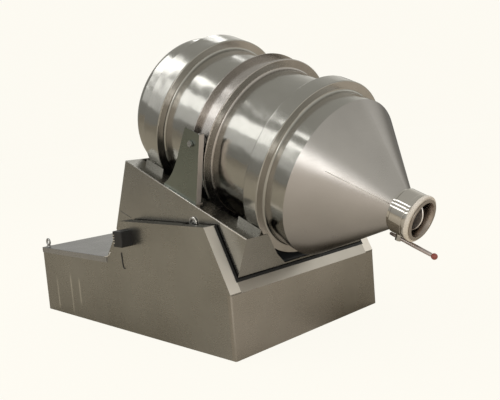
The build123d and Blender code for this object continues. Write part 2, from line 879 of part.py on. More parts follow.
def ring_half(width, groove):
    """Half the section of a ring, from its middle outwards; a groove sinks the rim's floor."""
    side = width / 2
    floor = ring_radius - groove
    land = side - ring_web
    foot = ring_seat + weld_toe
    if groove:
        Polyline((0, floor), (land, floor), (land, ring_radius), (side - ring_edge, ring_radius))
    else:
        Line((0, floor), (side - ring_edge, ring_radius))
    TangentArc((side - ring_edge, ring_radius), (side, ring_radius - ring_edge), tangent=(1, 0))
    Line((side, ring_radius - ring_edge), (side, foot + weld_leg))
    TangentArc((side, foot + weld_leg), (side + weld_leg, foot), tangent=(0, -1))
    Polyline(
        (side + weld_leg, foot),
        (side + weld_leg, ring_seat),
        (land, ring_seat),
        (land, floor - ring_rim),
        (0, floor - ring_rim),
    )


ring_sizes = {
    "running_ring_rear": (rear_ring_start, rear_ring_width, 0),
    "running_ring_front": (front_ring_start, front_ring_width, 0),
    "thrust_ring": (thrust_ring_start, thrust_ring_width, thrust_groove_depth),
}
for ring_name, (ring_start, ring_width, ring_groove) in ring_sizes.items():
    ring_middle = cradle_point(ring_start + ring_width / 2, 0, axis_rise)
    with BuildPart() as ring:
        with BuildSketch(Plane(origin=ring_middle, x_dir=direction_along(), z_dir=(0, -1, 0))):
            with BuildLine() as section:
                ring_half(ring_width, ring_groove)
                mirror(section.line, about=Plane.YZ)
            make_face()
        revolve(axis=drum_axis)
    save(ring, ring_name)

# Lifting plates along the inside of the shell
with BuildPart() as lifting_plates:
    for turn in range(flight_count):
        angle = math.tau * (turn + 0.5) / flight_count
        outwards = direction_rise() * math.cos(angle) + Vector(0, math.sin(angle), 0)
        flight_plane = Plane(
            origin=cradle_point(0, 0, axis_rise),
            x_dir=direction_along(),
            z_dir=direction_along().cross(outwards),
        )
        with BuildSketch(flight_plane):
            with Locations((shell_rear + flight_inset, shell_bore - seam)):
                Rectangle(
                    shell_front - shell_rear - 2 * flight_inset,
                    flight_height,
                    align=(Align.MIN, Align.MAX),
                )
        extrude(amount=flight_thickness / 2, both=True)
save(lifting_plates, "lifting_plates")

# Port: flange on the cone's mouth, then the valve
with BuildPart() as port_flange:
    with BuildSketch(drum_view):
        with Locations((cone_front, neck_radius)):
            Rectangle(valve_body_start - cone_front, neck_radius - bore_radius, align=(Align.MIN, Align.MAX))
    revolve(axis=drum_axis)
save(port_flange, "port_flange")

stem_along = valve_body_start + stem_station
stem_plane = Plane(
    origin=cradle_point(stem_along, 0, axis_rise), x_dir=direction_along(), z_dir=direction_rise() * -1
)
stem_boss_reach = valve_body_radius + stem_boss_height
stem_boss_foot = bore_radius + stem_boss_root
stem_foot_reach = valve_body_radius - stem_foot_cover
with BuildPart() as valve_body:
    with BuildSketch(drum_view):
        with Locations((valve_body_start, bore_radius)):
            Rectangle(valve_body_length, valve_body_radius - bore_radius, align=(Align.MIN, Align.MIN))
    revolve(axis=drum_axis)
    chamfer(valve_body.edges().group_by(SortBy.LENGTH)[-1], port_chamfer)
    with BuildSketch(stem_plane.offset(stem_boss_foot)):
        Circle(stem_boss_radius)
    extrude(amount=stem_boss_reach - stem_boss_foot)
    with BuildSketch(stem_plane.offset(-stem_foot_reach)):
        Circle(stem_radius + running_clearance)
    extrude(amount=stem_foot_reach + stem_boss_reach, mode=Mode.SUBTRACT)
save(valve_body, "valve_body")

seat_start = valve_body_start + valve_body_length
with BuildPart() as valve_seat:
    with BuildSketch(drum_view):
        with Locations((seat_start, bore_radius)):
            Rectangle(valve_seat_length, valve_seat_radius - bore_radius, align=(Align.MIN, Align.MIN))
    revolve(axis=drum_axis)
    fillet(valve_seat.edges().group_by(SortBy.LENGTH)[-1], seat_round)
save(valve_seat, "valve_seat")

front_ring_face = seat_start + valve_seat_length
with BuildPart() as valve_front_ring:
    with BuildSketch(drum_view):
        with Locations((front_ring_face, bore_radius)):
            Rectangle(valve_front_length, valve_front_radius - bore_radius, align=(Align.MIN, Align.MIN))
    revolve(axis=drum_axis)
    fillet(valve_front_ring.edges().group_by(SortBy.LENGTH)[-1], front_ring_round)
save(valve_front_ring, "valve_front_ring")

# Valve disc, open in line with the port, its stem out through the boss
disc_radius = bore_radius - disc_clearance
disc_stem_foot = stem_foot_reach - seam
with BuildPart() as valve_disc:
    with BuildSketch(Plane(origin=stem_plane.origin, x_dir=direction_along(), z_dir=(0, -1, 0))):
        Circle(disc_radius)
    extrude(amount=disc_thickness / 2, both=True)
    chamfer(valve_disc.edges(), disc_chamfer)
    with BuildSketch(stem_plane.offset(-disc_stem_foot)):
        Circle(stem_radius)
    extrude(amount=disc_stem_foot + stem_reach)
save(valve_disc, "valve_disc")

# Valve lever: a hub on the stem and a round bar along the port
hub_start = stem_boss_reach + lever_hub_gap
with BuildPart() as valve_lever:
    with BuildSketch(stem_plane.offset(hub_start)):
        Circle(lever_hub_radius)
    extrude(amount=lever_hub_height)
    lever_centre = stem_plane.offset(hub_start + lever_hub_height / 2).origin
    with BuildSketch(Plane(origin=lever_centre, x_dir=(0, 1, 0), z_dir=direction_along())):
        Circle(lever_radius)
    extrude(amount=lever_length)
    with BuildSketch(stem_plane.offset(hub_start)):
        Circle(stem_radius)
    extrude(amount=lever_hub_height, mode=Mode.SUBTRACT)
save(valve_lever, "valve_lever")

# Knob: a ball with a flat where it screws on the bar
with BuildPart() as valve_knob:
    with Locations(lever_centre + direction_along() * (lever_length + knob_radius - knob_flat)):
        Sphere(knob_radius)
    split(bisect_by=Plane(origin=lever_centre + direction_along() * lever_length, z_dir=direction_along()))
save(valve_knob, "valve_knob")

# Drive shaft on the right, with two driven rollers and the chain sprocket
chain_pitch = 15.875
chain_roller_radius = 5.08
tooth_reach = 3.2
shaft_teeth = 24
motor_teeth = 18
sprocket_width = 9.0
sprocket_clearance = 34.0
sprocket_hub_wall = 14.0
sprocket_hub_length = 16.0
shaft_rear_clearance = 20.0
sprocket_along = cradle_rear + plate + sprocket_clearance
shaft_rear = cradle_rear + plate + shaft_rear_clearance
shaft_front = front_station + block_reach + block_width + shaft_past


def shaft_plane(along, side):
    """Plane square to a roller shaft, centred on it."""
    return Plane(
        origin=cradle_point(along, side * roller_y, roller_rise), x_dir=(0, 1, 0), z_dir=direction_along()
    )


def roller_outline(bore):
    """Half section of a steel roller, along its shaft and outwards."""
    half = roller_width / 2
    web = roller_web / 2
    rim_floor = roller_radius - roller_rim
    hub = shaft_radius + roller_hub
    Polyline(
        (-half, bore),
        (-half, hub),
        (-web, hub),
        (-web, rim_floor),
        (-half, rim_floor),
        (-half, roller_radius - turned_chamfer),
        (-half + turned_chamfer, roller_radius),
        (half - turned_chamfer, roller_radius),
        (half, roller_radius - turned_chamfer),
        (half, rim_floor),
        (web, rim_floor),
        (web, hub),
        (half, hub),
        (half, bore),
        close=True,
    )


def sprocket_pitch_radius(teeth):
    """Radius of the circle through the chain's rollers."""
    return chain_pitch / 2 / math.sin(math.pi / teeth)


def sprocket_tip_radius(teeth):
    """Radius over the teeth's tips."""
    return sprocket_pitch_radius(teeth) + tooth_reach


def sprocket_teeth(teeth):
    """A toothed disc: the chain's rollers leave round gaps between the teeth."""
    Circle(sprocket_tip_radius(teeth))
    with PolarLocations(sprocket_pitch_radius(teeth), teeth):
        Circle(chain_roller_radius, mode=Mode.SUBTRACT)


with BuildPart() as drive_shaft:
    with BuildSketch(shaft_plane(shaft_rear, right)):
        Circle(shaft_radius)
    extrude(amount=shaft_front - shaft_rear)
    chamfer(drive_shaft.edges().filter_by(GeomType.CIRCLE), turned_chamfer)
save(drive_shaft, "drive_shaft")

with BuildPart() as driven_rollers:
    for station in stations.values():
        centre = cradle_point(station, right * roller_y, roller_rise)
        with BuildSketch(Plane(origin=centre, x_dir=direction_along(), z_dir=(0, -1, 0))):
            with BuildLine():
                roller_outline(shaft_radius)
            make_face()
        revolve(axis=Axis(centre, direction_along()))
save(driven_rollers, "driven_rollers")

with BuildPart() as shaft_sprocket:
    with BuildSketch(shaft_plane(sprocket_along, right)):
        sprocket_teeth(shaft_teeth)
    extrude(amount=sprocket_width)
    with BuildSketch(shaft_plane(sprocket_along, right)):
        Circle(shaft_radius + sprocket_hub_wall)
    extrude(amount=sprocket_width + sprocket_hub_length)
    with BuildSketch(shaft_plane(sprocket_along, right)):
        Circle(shaft_radius)
    extrude(amount=sprocket_width + sprocket_hub_length, mode=Mode.SUBTRACT)
save(shaft_sprocket, "shaft_sprocket")

# Idler rollers on the left, each turned in one piece with its journals
journal_reach = block_reach + block_width + shaft_past
for place, station in stations.items():
    centre = cradle_point(station, left * roller_y, roller_rise)
    with BuildPart() as idler_roller:
        with BuildSketch(Plane(origin=centre, x_dir=direction_along(), z_dir=(0, -1, 0))):
            with BuildLine():
                roller_outline(0)
            make_face()
            Rectangle(2 * journal_reach, shaft_radius, align=(Align.CENTER, Align.MIN))
        revolve(axis=Axis(centre, direction_along()))
    save(idler_roller, "idler_roller_" + place)

# Drum drive in the belly: motor, gearbox and output stub with its sprocket
drive_y = -150.0
drive_rise = -305.0
gearbox_clearance = 30.0
gearbox_length = 90.0
gearbox_half = 70.0
gearbox_corner = 20.0
gearbox_foot_margin = 20.0
motor_radius = 70.0
motor_flange = 12.0
motor_ribbed_length = 160.0
motor_cover_length = 48.0
motor_cover_taper = 4.0
fin_count = 18
fin_height = 6.0
fin_thickness = 2.0
output_radius = 16.0
output_hub_wall = 10.0
output_hub_length = 14.0
stub_depth = 50.0
stub_gap = 1.0
gearbox_rear = sprocket_along + gearbox_clearance
motor_start = gearbox_rear + gearbox_length
ribs_start = motor_start + motor_flange
cover_start = ribs_start + motor_ribbed_length


def drive_plane(along):
    """Plane square to the drum motor's shaft."""
    return Plane(origin=cradle_point(along, drive_y, drive_rise), x_dir=(0, 1, 0), z_dir=direction_along())


def motor_ribs():
    """Section of a motor's cooling ribs, round the centre of the sketch."""
    Circle(motor_radius - fin_height)
    with PolarLocations(motor_radius - fin_height, fin_count):
        Rectangle(2 * fin_height, fin_thickness)


with BuildPart() as motor_sprocket:
    with BuildSketch(drive_plane(sprocket_along)):
        sprocket_teeth(motor_teeth)
    extrude(amount=sprocket_width)
    with BuildSketch(drive_plane(sprocket_along)):
        Circle(output_radius + output_hub_wall)
    extrude(amount=sprocket_width + output_hub_length)
    with BuildSketch(drive_plane(sprocket_along)):
        Circle(output_radius)
    extrude(amount=gearbox_rear + stub_depth - sprocket_along)
save(motor_sprocket, "motor_sprocket")

with BuildPart() as drum_gearmotor:
    with BuildSketch(drive_plane(gearbox_rear)):
        RectangleRounded(2 * gearbox_half, 2 * gearbox_half, gearbox_corner)
    extrude(amount=gearbox_length)
    with BuildSketch(drive_plane(gearbox_rear)):
        with Locations((0, -gearbox_half)):
            Rectangle(
                2 * (gearbox_half + gearbox_foot_margin),
                belly_depth - sheet + drive_rise - gearbox_half,
                align=(Align.CENTER, Align.MAX),
            )
    extrude(amount=gearbox_length)
    with BuildSketch(drive_plane(motor_start)):
        Circle(motor_radius)
    extrude(amount=motor_flange)
    with BuildSketch(drive_plane(ribs_start)):
        motor_ribs()
    extrude(amount=motor_ribbed_length)
    with BuildSketch(drive_plane(cover_start)):
        Circle(motor_radius)
    extrude(amount=motor_cover_length, taper=motor_cover_taper)
    with BuildSketch(drive_plane(gearbox_rear)):
        Circle(output_radius + running_clearance)
    extrude(amount=stub_depth + stub_gap, mode=Mode.SUBTRACT)
save(drum_gearmotor, "drum_gearmotor")

# Chain round both sprockets, a loop just clear of their teeth
chain_gap = 0.5
chain_thickness = 12.0
chain_width = 17.0
chain_plane = cross_view(sprocket_along + sprocket_width / 2 - chain_width / 2)
with BuildPart() as drive_chain:
    for reach, way in ((chain_gap + chain_thickness, Mode.ADD), (chain_gap, Mode.SUBTRACT)):
        with BuildSketch(chain_plane):
            with Locations((right * roller_y, roller_rise)):
                Circle(sprocket_tip_radius(shaft_teeth) + reach)
            with Locations((drive_y, drive_rise)):
                Circle(sprocket_tip_radius(motor_teeth) + reach)
            make_hull()
        extrude(amount=chain_width, mode=way)
save(drive_chain, "drive_chain")

# Guard plates over the rollers, standing on the rails
guard_y = rail_inner + guard_inset
guard_length = 178.0
guard_shifts = {"front": -7.0, "rear": 3.0}
guard_seats = [
    (stations[place] + shift, side * (guard_y + guard_thickness / 2))
    for place, shift in guard_shifts.items()
    for side in (right, left)
]
with BuildPart() as roller_guards:
    with BuildSketch(top_view(rail_rise)):
        with Locations(guard_seats):
            Rectangle(guard_length, guard_thickness)
    extrude(amount=guard_height)
save(roller_guards, "roller_guards")

# Stop roller brackets: plates that lean outwards, their front edge folded inwards
stop_along = thrust_ring_start + thrust_ring_width / 2
stop_rise = axis_rise + stop_above_axis
stop_inner_y = ring_radius - stop_rim_inset
stop_y = stop_inner_y + stop_roller_width + stop_spacing
bracket_foot_y = cradle_half_width - bracket_inset
bracket_lean = math.atan2(stop_y - bracket_foot_y, stop_rise - rail_rise)
bracket_reach = (axis_rise + bracket_above_axis - rail_rise) / math.cos(bracket_lean)
bracket_plane = Plane(
    origin=cradle_point(0, -bracket_foot_y, rail_rise),
    x_dir=direction_along(),
    z_dir=Vector(0, -math.cos(bracket_lean), 0) - direction_rise() * math.sin(bracket_lean),
)
stop_hub_length = 22.0
stop_bore_length = 60.0
waist_set_back = 37.0
waist_drop = 153.0
flare_set_back = 110.0
flare_reach = 60.0
with BuildPart() as stop_bracket_right:
    with BuildSketch(bracket_plane):
        with BuildLine():
            Polyline(
                (bracket_foot_rear, bracket_foot_thickness),
                (bracket_foot_front, bracket_foot_thickness),
                (bracket_top_front, bracket_reach),
                (bracket_top_rear, bracket_reach),
            )
            Spline(
                (bracket_top_rear, bracket_reach),
                (bracket_top_rear - waist_set_back, bracket_reach - waist_drop),
                (bracket_top_rear - flare_set_back, flare_reach),
                (bracket_foot_rear, bracket_foot_thickness),
            )
        make_face()
    extrude(amount=plate)
    with BuildSketch(bracket_plane):
        with BuildLine():
            Polyline(
                (bracket_foot_front, bracket_foot_thickness),
                (bracket_top_front, bracket_reach),
                (bracket_top_front - plate, bracket_reach),
                (bracket_foot_front - plate, bracket_foot_thickness),
                close=True,
            )
        make_face()
    extrude(amount=-bracket_flange)
    with BuildSketch(top_view(rail_rise)):
        with Locations(((bracket_foot_rear + bracket_foot_front) / 2, -bracket_foot_y - plate)):
            Rectangle(
                bracket_foot_front - bracket_foot_rear, bracket_foot_width, align=(Align.CENTER, Align.MIN)
            )
    extrude(amount=bracket_foot_thickness)
    with BuildSketch(side_view(-stop_y + stop_hub_length)):
        with Locations((stop_along, stop_rise)):
            Circle(stop_axle_radius + stop_hub_wall)
    extrude(amount=stop_hub_length)
    with BuildSketch(side_view(-stop_y + stop_bore_length / 2)):
        with Locations((stop_along, stop_rise)):
            Circle(stop_axle_radius)
    extrude(amount=stop_bore_length, mode=Mode.SUBTRACT)
save(stop_bracket_right, "stop_bracket_right")

with BuildPart() as stop_bracket_left:
    mirror(stop_bracket_right.part, about=Plane.XZ)
save(stop_bracket_left, "stop_bracket_left")

bracket_seats = [
    (along, side * (bracket_foot_y - bracket_bolt_reach))
    for along in (bracket_foot_rear + bracket_bolt_inset, bracket_foot_front - bracket_bolt_inset)
    for side in (right, left)
]
with BuildPart() as bracket_bolts:
    with BuildSketch(top_view(rail_rise + bracket_foot_thickness)):
        with Locations(bracket_seats):
            RegularPolygon(bracket_bolt_head_radius, side_count)
    extrude(amount=bracket_bolt_head)
save(bracket_bolts, "bracket_bolts")

# Stop rollers and their axles
stop_nut_seat = stop_y + plate + stop_axle_past
with BuildPart() as stop_roller_right:
    with BuildSketch(side_view(-stop_inner_y)):
        with Locations((stop_along, stop_rise)):
            Circle(stop_roller_radius)
            Circle(stop_axle_radius + running_clearance, mode=Mode.SUBTRACT)
    extrude(amount=stop_roller_width)
    chamfer(stop_roller_right.edges().group_by(SortBy.LENGTH)[-1], turned_chamfer)
save(stop_roller_right, "stop_roller_right")

with BuildPart() as stop_roller_left:
    mirror(stop_roller_right.part, about=Plane.XZ)
save(stop_roller_left, "stop_roller_left")

with BuildPart() as stop_axle_right:
    with BuildSketch(side_view(-stop_inner_y)):
        with Locations((stop_along, stop_rise)):
            Circle(stop_axle_radius)
    extrude(amount=stop_nut_seat - stop_inner_y)
    with BuildSketch(side_view(-stop_nut_seat)):
        with Locations((stop_along, stop_rise)):
            RegularPolygon(stop_nut_radius, side_count)
    extrude(amount=stop_nut_height)

with BuildPart() as stop_axles:
    add(stop_axle_right.part)
    mirror(stop_axle_right.part, about=Plane.XZ)
save(stop_axles, "stop_axles")

# Swing linkage: crank on the cabinet, rod up to a lug on the cradle
lug_set_back = 72.0
lug_drop = 18.0
lug_radius = 34.0
lug_gap = 24.0
lug_thickness = 12.0
lug_plate_width = 130.0
lug_plate_margin = 2.0
lug_plate_corner = 6.0
rod_half = 20.0
rod_radius = 16.0
rod_eye_radius = 32.0
pin_radius = 15.0
pin_past = 4.0
pin_head_margin = 6.0
pin_head_height = 8.0
beam_rear_face = front_station - beam_width / 2
beam_middle = beam_top - beam_height / 2
lug_along = beam_rear_face - lug_set_back
lug_rise = beam_top - lug_drop
lug_plate_height = beam_height - 2 * lug_plate_margin


def swung(along, rise, swing):
    """Where a place on the cradle lies in X and Z when the cradle is tilted by this angle."""
    turn = math.radians(swing)
    return (
        pivot_x + along * math.cos(turn) + rise * math.sin(turn),
        pivot_height - along * math.sin(turn) + rise * math.cos(turn),
    )


lug_low = swung(lug_along, lug_rise, tilt)
lug_high = swung(lug_along, lug_rise, -tilt)
reach_low = math.dist((crank_x, crank_height), lug_low)
reach_high = math.dist((crank_x, crank_height), lug_high)
rod_length = (reach_high + reach_low) / 2
crank_length = (reach_high - reach_low) / 2
rod_direction = (
    (crank_x - lug_low[0]) / reach_low,
    (crank_height - lug_low[1]) / reach_low,
)
crank_pin = (crank_x + rod_direction[0] * crank_length, crank_height + rod_direction[1] * crank_length)

with BuildPart() as rod_lug:
    for start in (-lug_gap - lug_thickness, lug_gap):
        with BuildSketch(side_view(start + lug_thickness)):
            with Locations((lug_along, lug_rise)):
                Circle(lug_radius)
            with Locations((beam_rear_face - lug_thickness, beam_middle)):
                Rectangle(lug_thickness / 2, lug_plate_height, align=(Align.MIN, Align.CENTER))
            make_hull()
            with Locations((lug_along, lug_rise)):
                Circle(pin_radius, mode=Mode.SUBTRACT)
        extrude(amount=lug_thickness)
    with BuildSketch(cross_view(beam_rear_face - lug_thickness)):
        with Locations((0, beam_middle)):
            RectangleRounded(lug_plate_width, lug_plate_height, lug_plate_corner)
    extrude(amount=lug_thickness)
save(rod_lug, "rod_lug")

with BuildPart() as rod_pin:
    with BuildSketch(side_view(lug_gap + lug_thickness + pin_past)):
        with Locations((lug_along, lug_rise)):
            Circle(pin_radius)
    extrude(amount=2 * (lug_gap + lug_thickness + pin_past))
    with BuildSketch(side_view(-lug_gap - lug_thickness)):
        with Locations((lug_along, lug_rise)):
            Circle(pin_radius + pin_head_margin)
    extrude(amount=pin_head_height)
save(rod_pin, "rod_pin")

# Connecting rod: a tube between two eyes
lug_low_point = Vector(lug_low[0], 0, lug_low[1])
rod_vector = Vector(rod_direction[0], 0, rod_direction[1])
with BuildPart() as connecting_rod:
    for eye in (lug_low, crank_pin):
        with BuildSketch(Plane(origin=(eye[0], rod_half, eye[1]), x_dir=(1, 0, 0), z_dir=(0, -1, 0))):
            Circle(rod_eye_radius)
        extrude(amount=2 * rod_half)
    with BuildSketch(Plane(origin=lug_low_point, x_dir=(0, 1, 0), z_dir=rod_vector)):
        Circle(rod_radius)
    extrude(amount=rod_length)
    for eye in (lug_low, crank_pin):
        with BuildSketch(Plane(origin=(eye[0], rod_half, eye[1]), x_dir=(1, 0, 0), z_dir=(0, -1, 0))):
            Circle(pin_radius + running_clearance)
        extrude(amount=2 * rod_half, mode=Mode.SUBTRACT)
save(connecting_rod, "connecting_rod")

# Crank: arm, stub shaft into the gearbox, and the pin that drives the rod
crank_outer_y = -60.0
crank_thickness = 30.0
crank_hub_radius = 42.0
crank_eye_radius = 28.0
crank_stub_radius = 20.0
crank_stub_length = 80.0
pin_end_gap = 1.0
with BuildPart() as crank:
    with BuildSketch(base_side(crank_outer_y + crank_thickness)):
        with Locations((crank_x, crank_height)):
            Circle(crank_hub_radius)
        with Locations(crank_pin):
            Circle(crank_eye_radius)
        make_hull()
    extrude(amount=crank_thickness)
    with BuildSketch(base_side(crank_outer_y)):
        with Locations((crank_x, crank_height)):
            Circle(crank_stub_radius)
    extrude(amount=crank_stub_length)
    with BuildSketch(base_side(-rod_half - pin_end_gap)):
        with Locations(crank_pin):
            Circle(pin_radius)
    extrude(amount=-crank_outer_y - crank_thickness - rod_half - pin_end_gap)
save(crank, "crank")

# Swing gearmotor on the base frame
swing_gearbox_y = -80.0
swing_gearbox_length = 165.0
swing_gearbox_half = 90.0
swing_gearbox_half_height = 100.0
swing_gearbox_corner = 24.0
swing_foot_thickness = 14.0
swing_foot_inset = 30.0
swing_motor_rear = 565.0
swing_cover_length = 50.0
swing_stub_clearance = 2.0
swing_motor_y = swing_gearbox_y - swing_gearbox_length / 2
swing_ribs_start = swing_motor_rear + swing_cover_length
swing_stub_depth = swing_gearbox_y - crank_outer_y + crank_stub_length + swing_stub_clearance
with BuildPart() as swing_gearmotor:
    with BuildSketch(base_side(swing_gearbox_y)):
        with Locations((crank_x, frame_tube)):
            Rectangle(2 * swing_gearbox_half, swing_foot_thickness, align=(Align.CENTER, Align.MIN))
        with Locations((crank_x, crank_height)):
            RectangleRounded(2 * swing_gearbox_half, 2 * swing_gearbox_half_height, swing_gearbox_corner)
        with Locations((crank_x, frame_tube)):
            Rectangle(
                2 * (swing_gearbox_half - swing_foot_inset),
                crank_height - frame_tube,
                align=(Align.CENTER, Align.MIN),
            )
    extrude(amount=swing_gearbox_length)
    with BuildSketch(Plane.YZ.offset(swing_ribs_start)):
        with Locations((swing_motor_y, crank_height)):
            motor_ribs()
    extrude(amount=crank_x - swing_gearbox_half - swing_ribs_start)
    with BuildSketch(Plane.YZ.offset(swing_ribs_start)):
        with Locations((swing_motor_y, crank_height)):
            Circle(motor_radius)
    extrude(amount=-swing_cover_length, taper=motor_cover_taper)
    with BuildSketch(base_side(swing_gearbox_y)):
        with Locations((crank_x, crank_height)):
            Circle(crank_stub_radius + running_clearance)
    extrude(amount=swing_stub_depth, mode=Mode.SUBTRACT)
save(swing_gearmotor, "swing_gearmotor")
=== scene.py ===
import json
import math
from typing import NamedTuple

import bmesh
import bpy
from mathutils import Matrix, Vector


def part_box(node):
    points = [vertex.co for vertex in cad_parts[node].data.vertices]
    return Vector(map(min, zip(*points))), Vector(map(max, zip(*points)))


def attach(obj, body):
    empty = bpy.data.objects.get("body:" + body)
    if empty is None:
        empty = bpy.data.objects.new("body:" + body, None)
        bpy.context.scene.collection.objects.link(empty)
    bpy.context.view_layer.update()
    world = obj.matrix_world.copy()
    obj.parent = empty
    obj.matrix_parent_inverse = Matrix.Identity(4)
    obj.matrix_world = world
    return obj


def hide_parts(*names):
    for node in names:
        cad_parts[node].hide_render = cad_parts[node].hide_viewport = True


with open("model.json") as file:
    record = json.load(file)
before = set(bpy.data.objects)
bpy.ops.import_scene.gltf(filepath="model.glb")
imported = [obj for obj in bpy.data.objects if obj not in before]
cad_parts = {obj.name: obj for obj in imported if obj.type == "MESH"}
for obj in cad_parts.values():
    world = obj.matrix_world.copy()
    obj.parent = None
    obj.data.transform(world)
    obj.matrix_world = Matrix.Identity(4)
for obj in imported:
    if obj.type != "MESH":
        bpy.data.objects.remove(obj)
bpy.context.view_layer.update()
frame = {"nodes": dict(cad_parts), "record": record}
nodes = frame["nodes"]

# Frame of the cradle and drum, in metres: "along" runs down the drum's axis, "rise" is square to it
TILT = math.radians(22.8)
PIVOT = Vector((0.665, 0.0, 0.724))
AXIS_RISE = 0.419
ALONG = Vector((math.cos(TILT), 0.0, -math.sin(TILT)))
RISE = Vector((math.sin(TILT), 0.0, math.cos(TILT)))
ACROSS = Vector((0.0, 1.0, 0.0))

# Outside of the cabinet's and the cradle's side sheets, and the way that the cabinet's front slope faces
CABINET_HALF = 0.650
CRADLE_HALF = 0.555
SLOPE_FACING = math.radians(25.8)
CABINET_SLOPE = Vector((math.cos(SLOPE_FACING), 0.0, math.sin(SLOPE_FACING)))


def cradle_point(along, y, rise):
    """A place given in the cradle's own axes."""
    return PIVOT + ALONG * along + ACROSS * y + RISE * rise


def heading(azimuth, elevation):
    """Unit vector in this direction, in degrees from +X and up from the floor."""
    azimuth, elevation = math.radians(azimuth), math.radians(elevation)
    level = math.cos(elevation)
    return Vector((math.cos(azimuth) * level, math.sin(azimuth) * level, math.sin(elevation)))


# Camera at the photograph's place and angle, for an image of 500 x 400
IMAGE_WIDTH, IMAGE_HEIGHT = 500.0, 400.0
FOCAL_PIXELS = 647.5
SENSOR_WIDTH = 36.0
CAMERA_REACH = 200.0
CAMERA_PLACE = Vector((3.5269, -2.8812, 1.2277))
YAW, PITCH, ROLL = math.radians(45.75), math.radians(6.23), math.radians(4.71)
FORWARD = Vector((-math.sin(YAW) * math.cos(PITCH), math.cos(YAW) * math.cos(PITCH), -math.sin(PITCH)))
LEVEL_RIGHT = Vector((math.cos(YAW), math.sin(YAW), 0.0))
LEVEL_DOWN = FORWARD.cross(LEVEL_RIGHT)
RIGHT = LEVEL_RIGHT * math.cos(ROLL) + LEVEL_DOWN * math.sin(ROLL)
DOWN = LEVEL_DOWN * math.cos(ROLL) - LEVEL_RIGHT * math.sin(ROLL)


def add_camera():
    """Camera at the photograph's angle."""
    data = bpy.data.cameras.new("camera")
    data.sensor_fit = "HORIZONTAL"
    data.sensor_width = SENSOR_WIDTH
    data.lens = FOCAL_PIXELS / IMAGE_WIDTH * SENSOR_WIDTH
    data.clip_end = CAMERA_REACH
    camera = bpy.data.objects.new("camera", data)
    bpy.context.scene.collection.objects.link(camera)
    turn = Matrix((RIGHT, -DOWN, -FORWARD)).transposed().to_4x4()
    camera.matrix_world = Matrix.Translation(CAMERA_PLACE) @ turn
    bpy.context.scene.camera = camera


def seen_on_side(pixel, y):
    """The place, on an upright sheet at this y, that the photograph shows at a pixel."""
    across = RIGHT * (pixel[0] - IMAGE_WIDTH / 2) + DOWN * (pixel[1] - IMAGE_HEIGHT / 2)
    ray = FORWARD * FOCAL_PIXELS + across
    return CAMERA_PLACE + ray * ((y - CAMERA_PLACE.y) / ray.y)


# Sockets of the mix node that carry its factor, its two colours and its result
MIX_FACTOR, MIX_FIRST, MIX_SECOND, MIX_RESULT = 0, 6, 7, 2


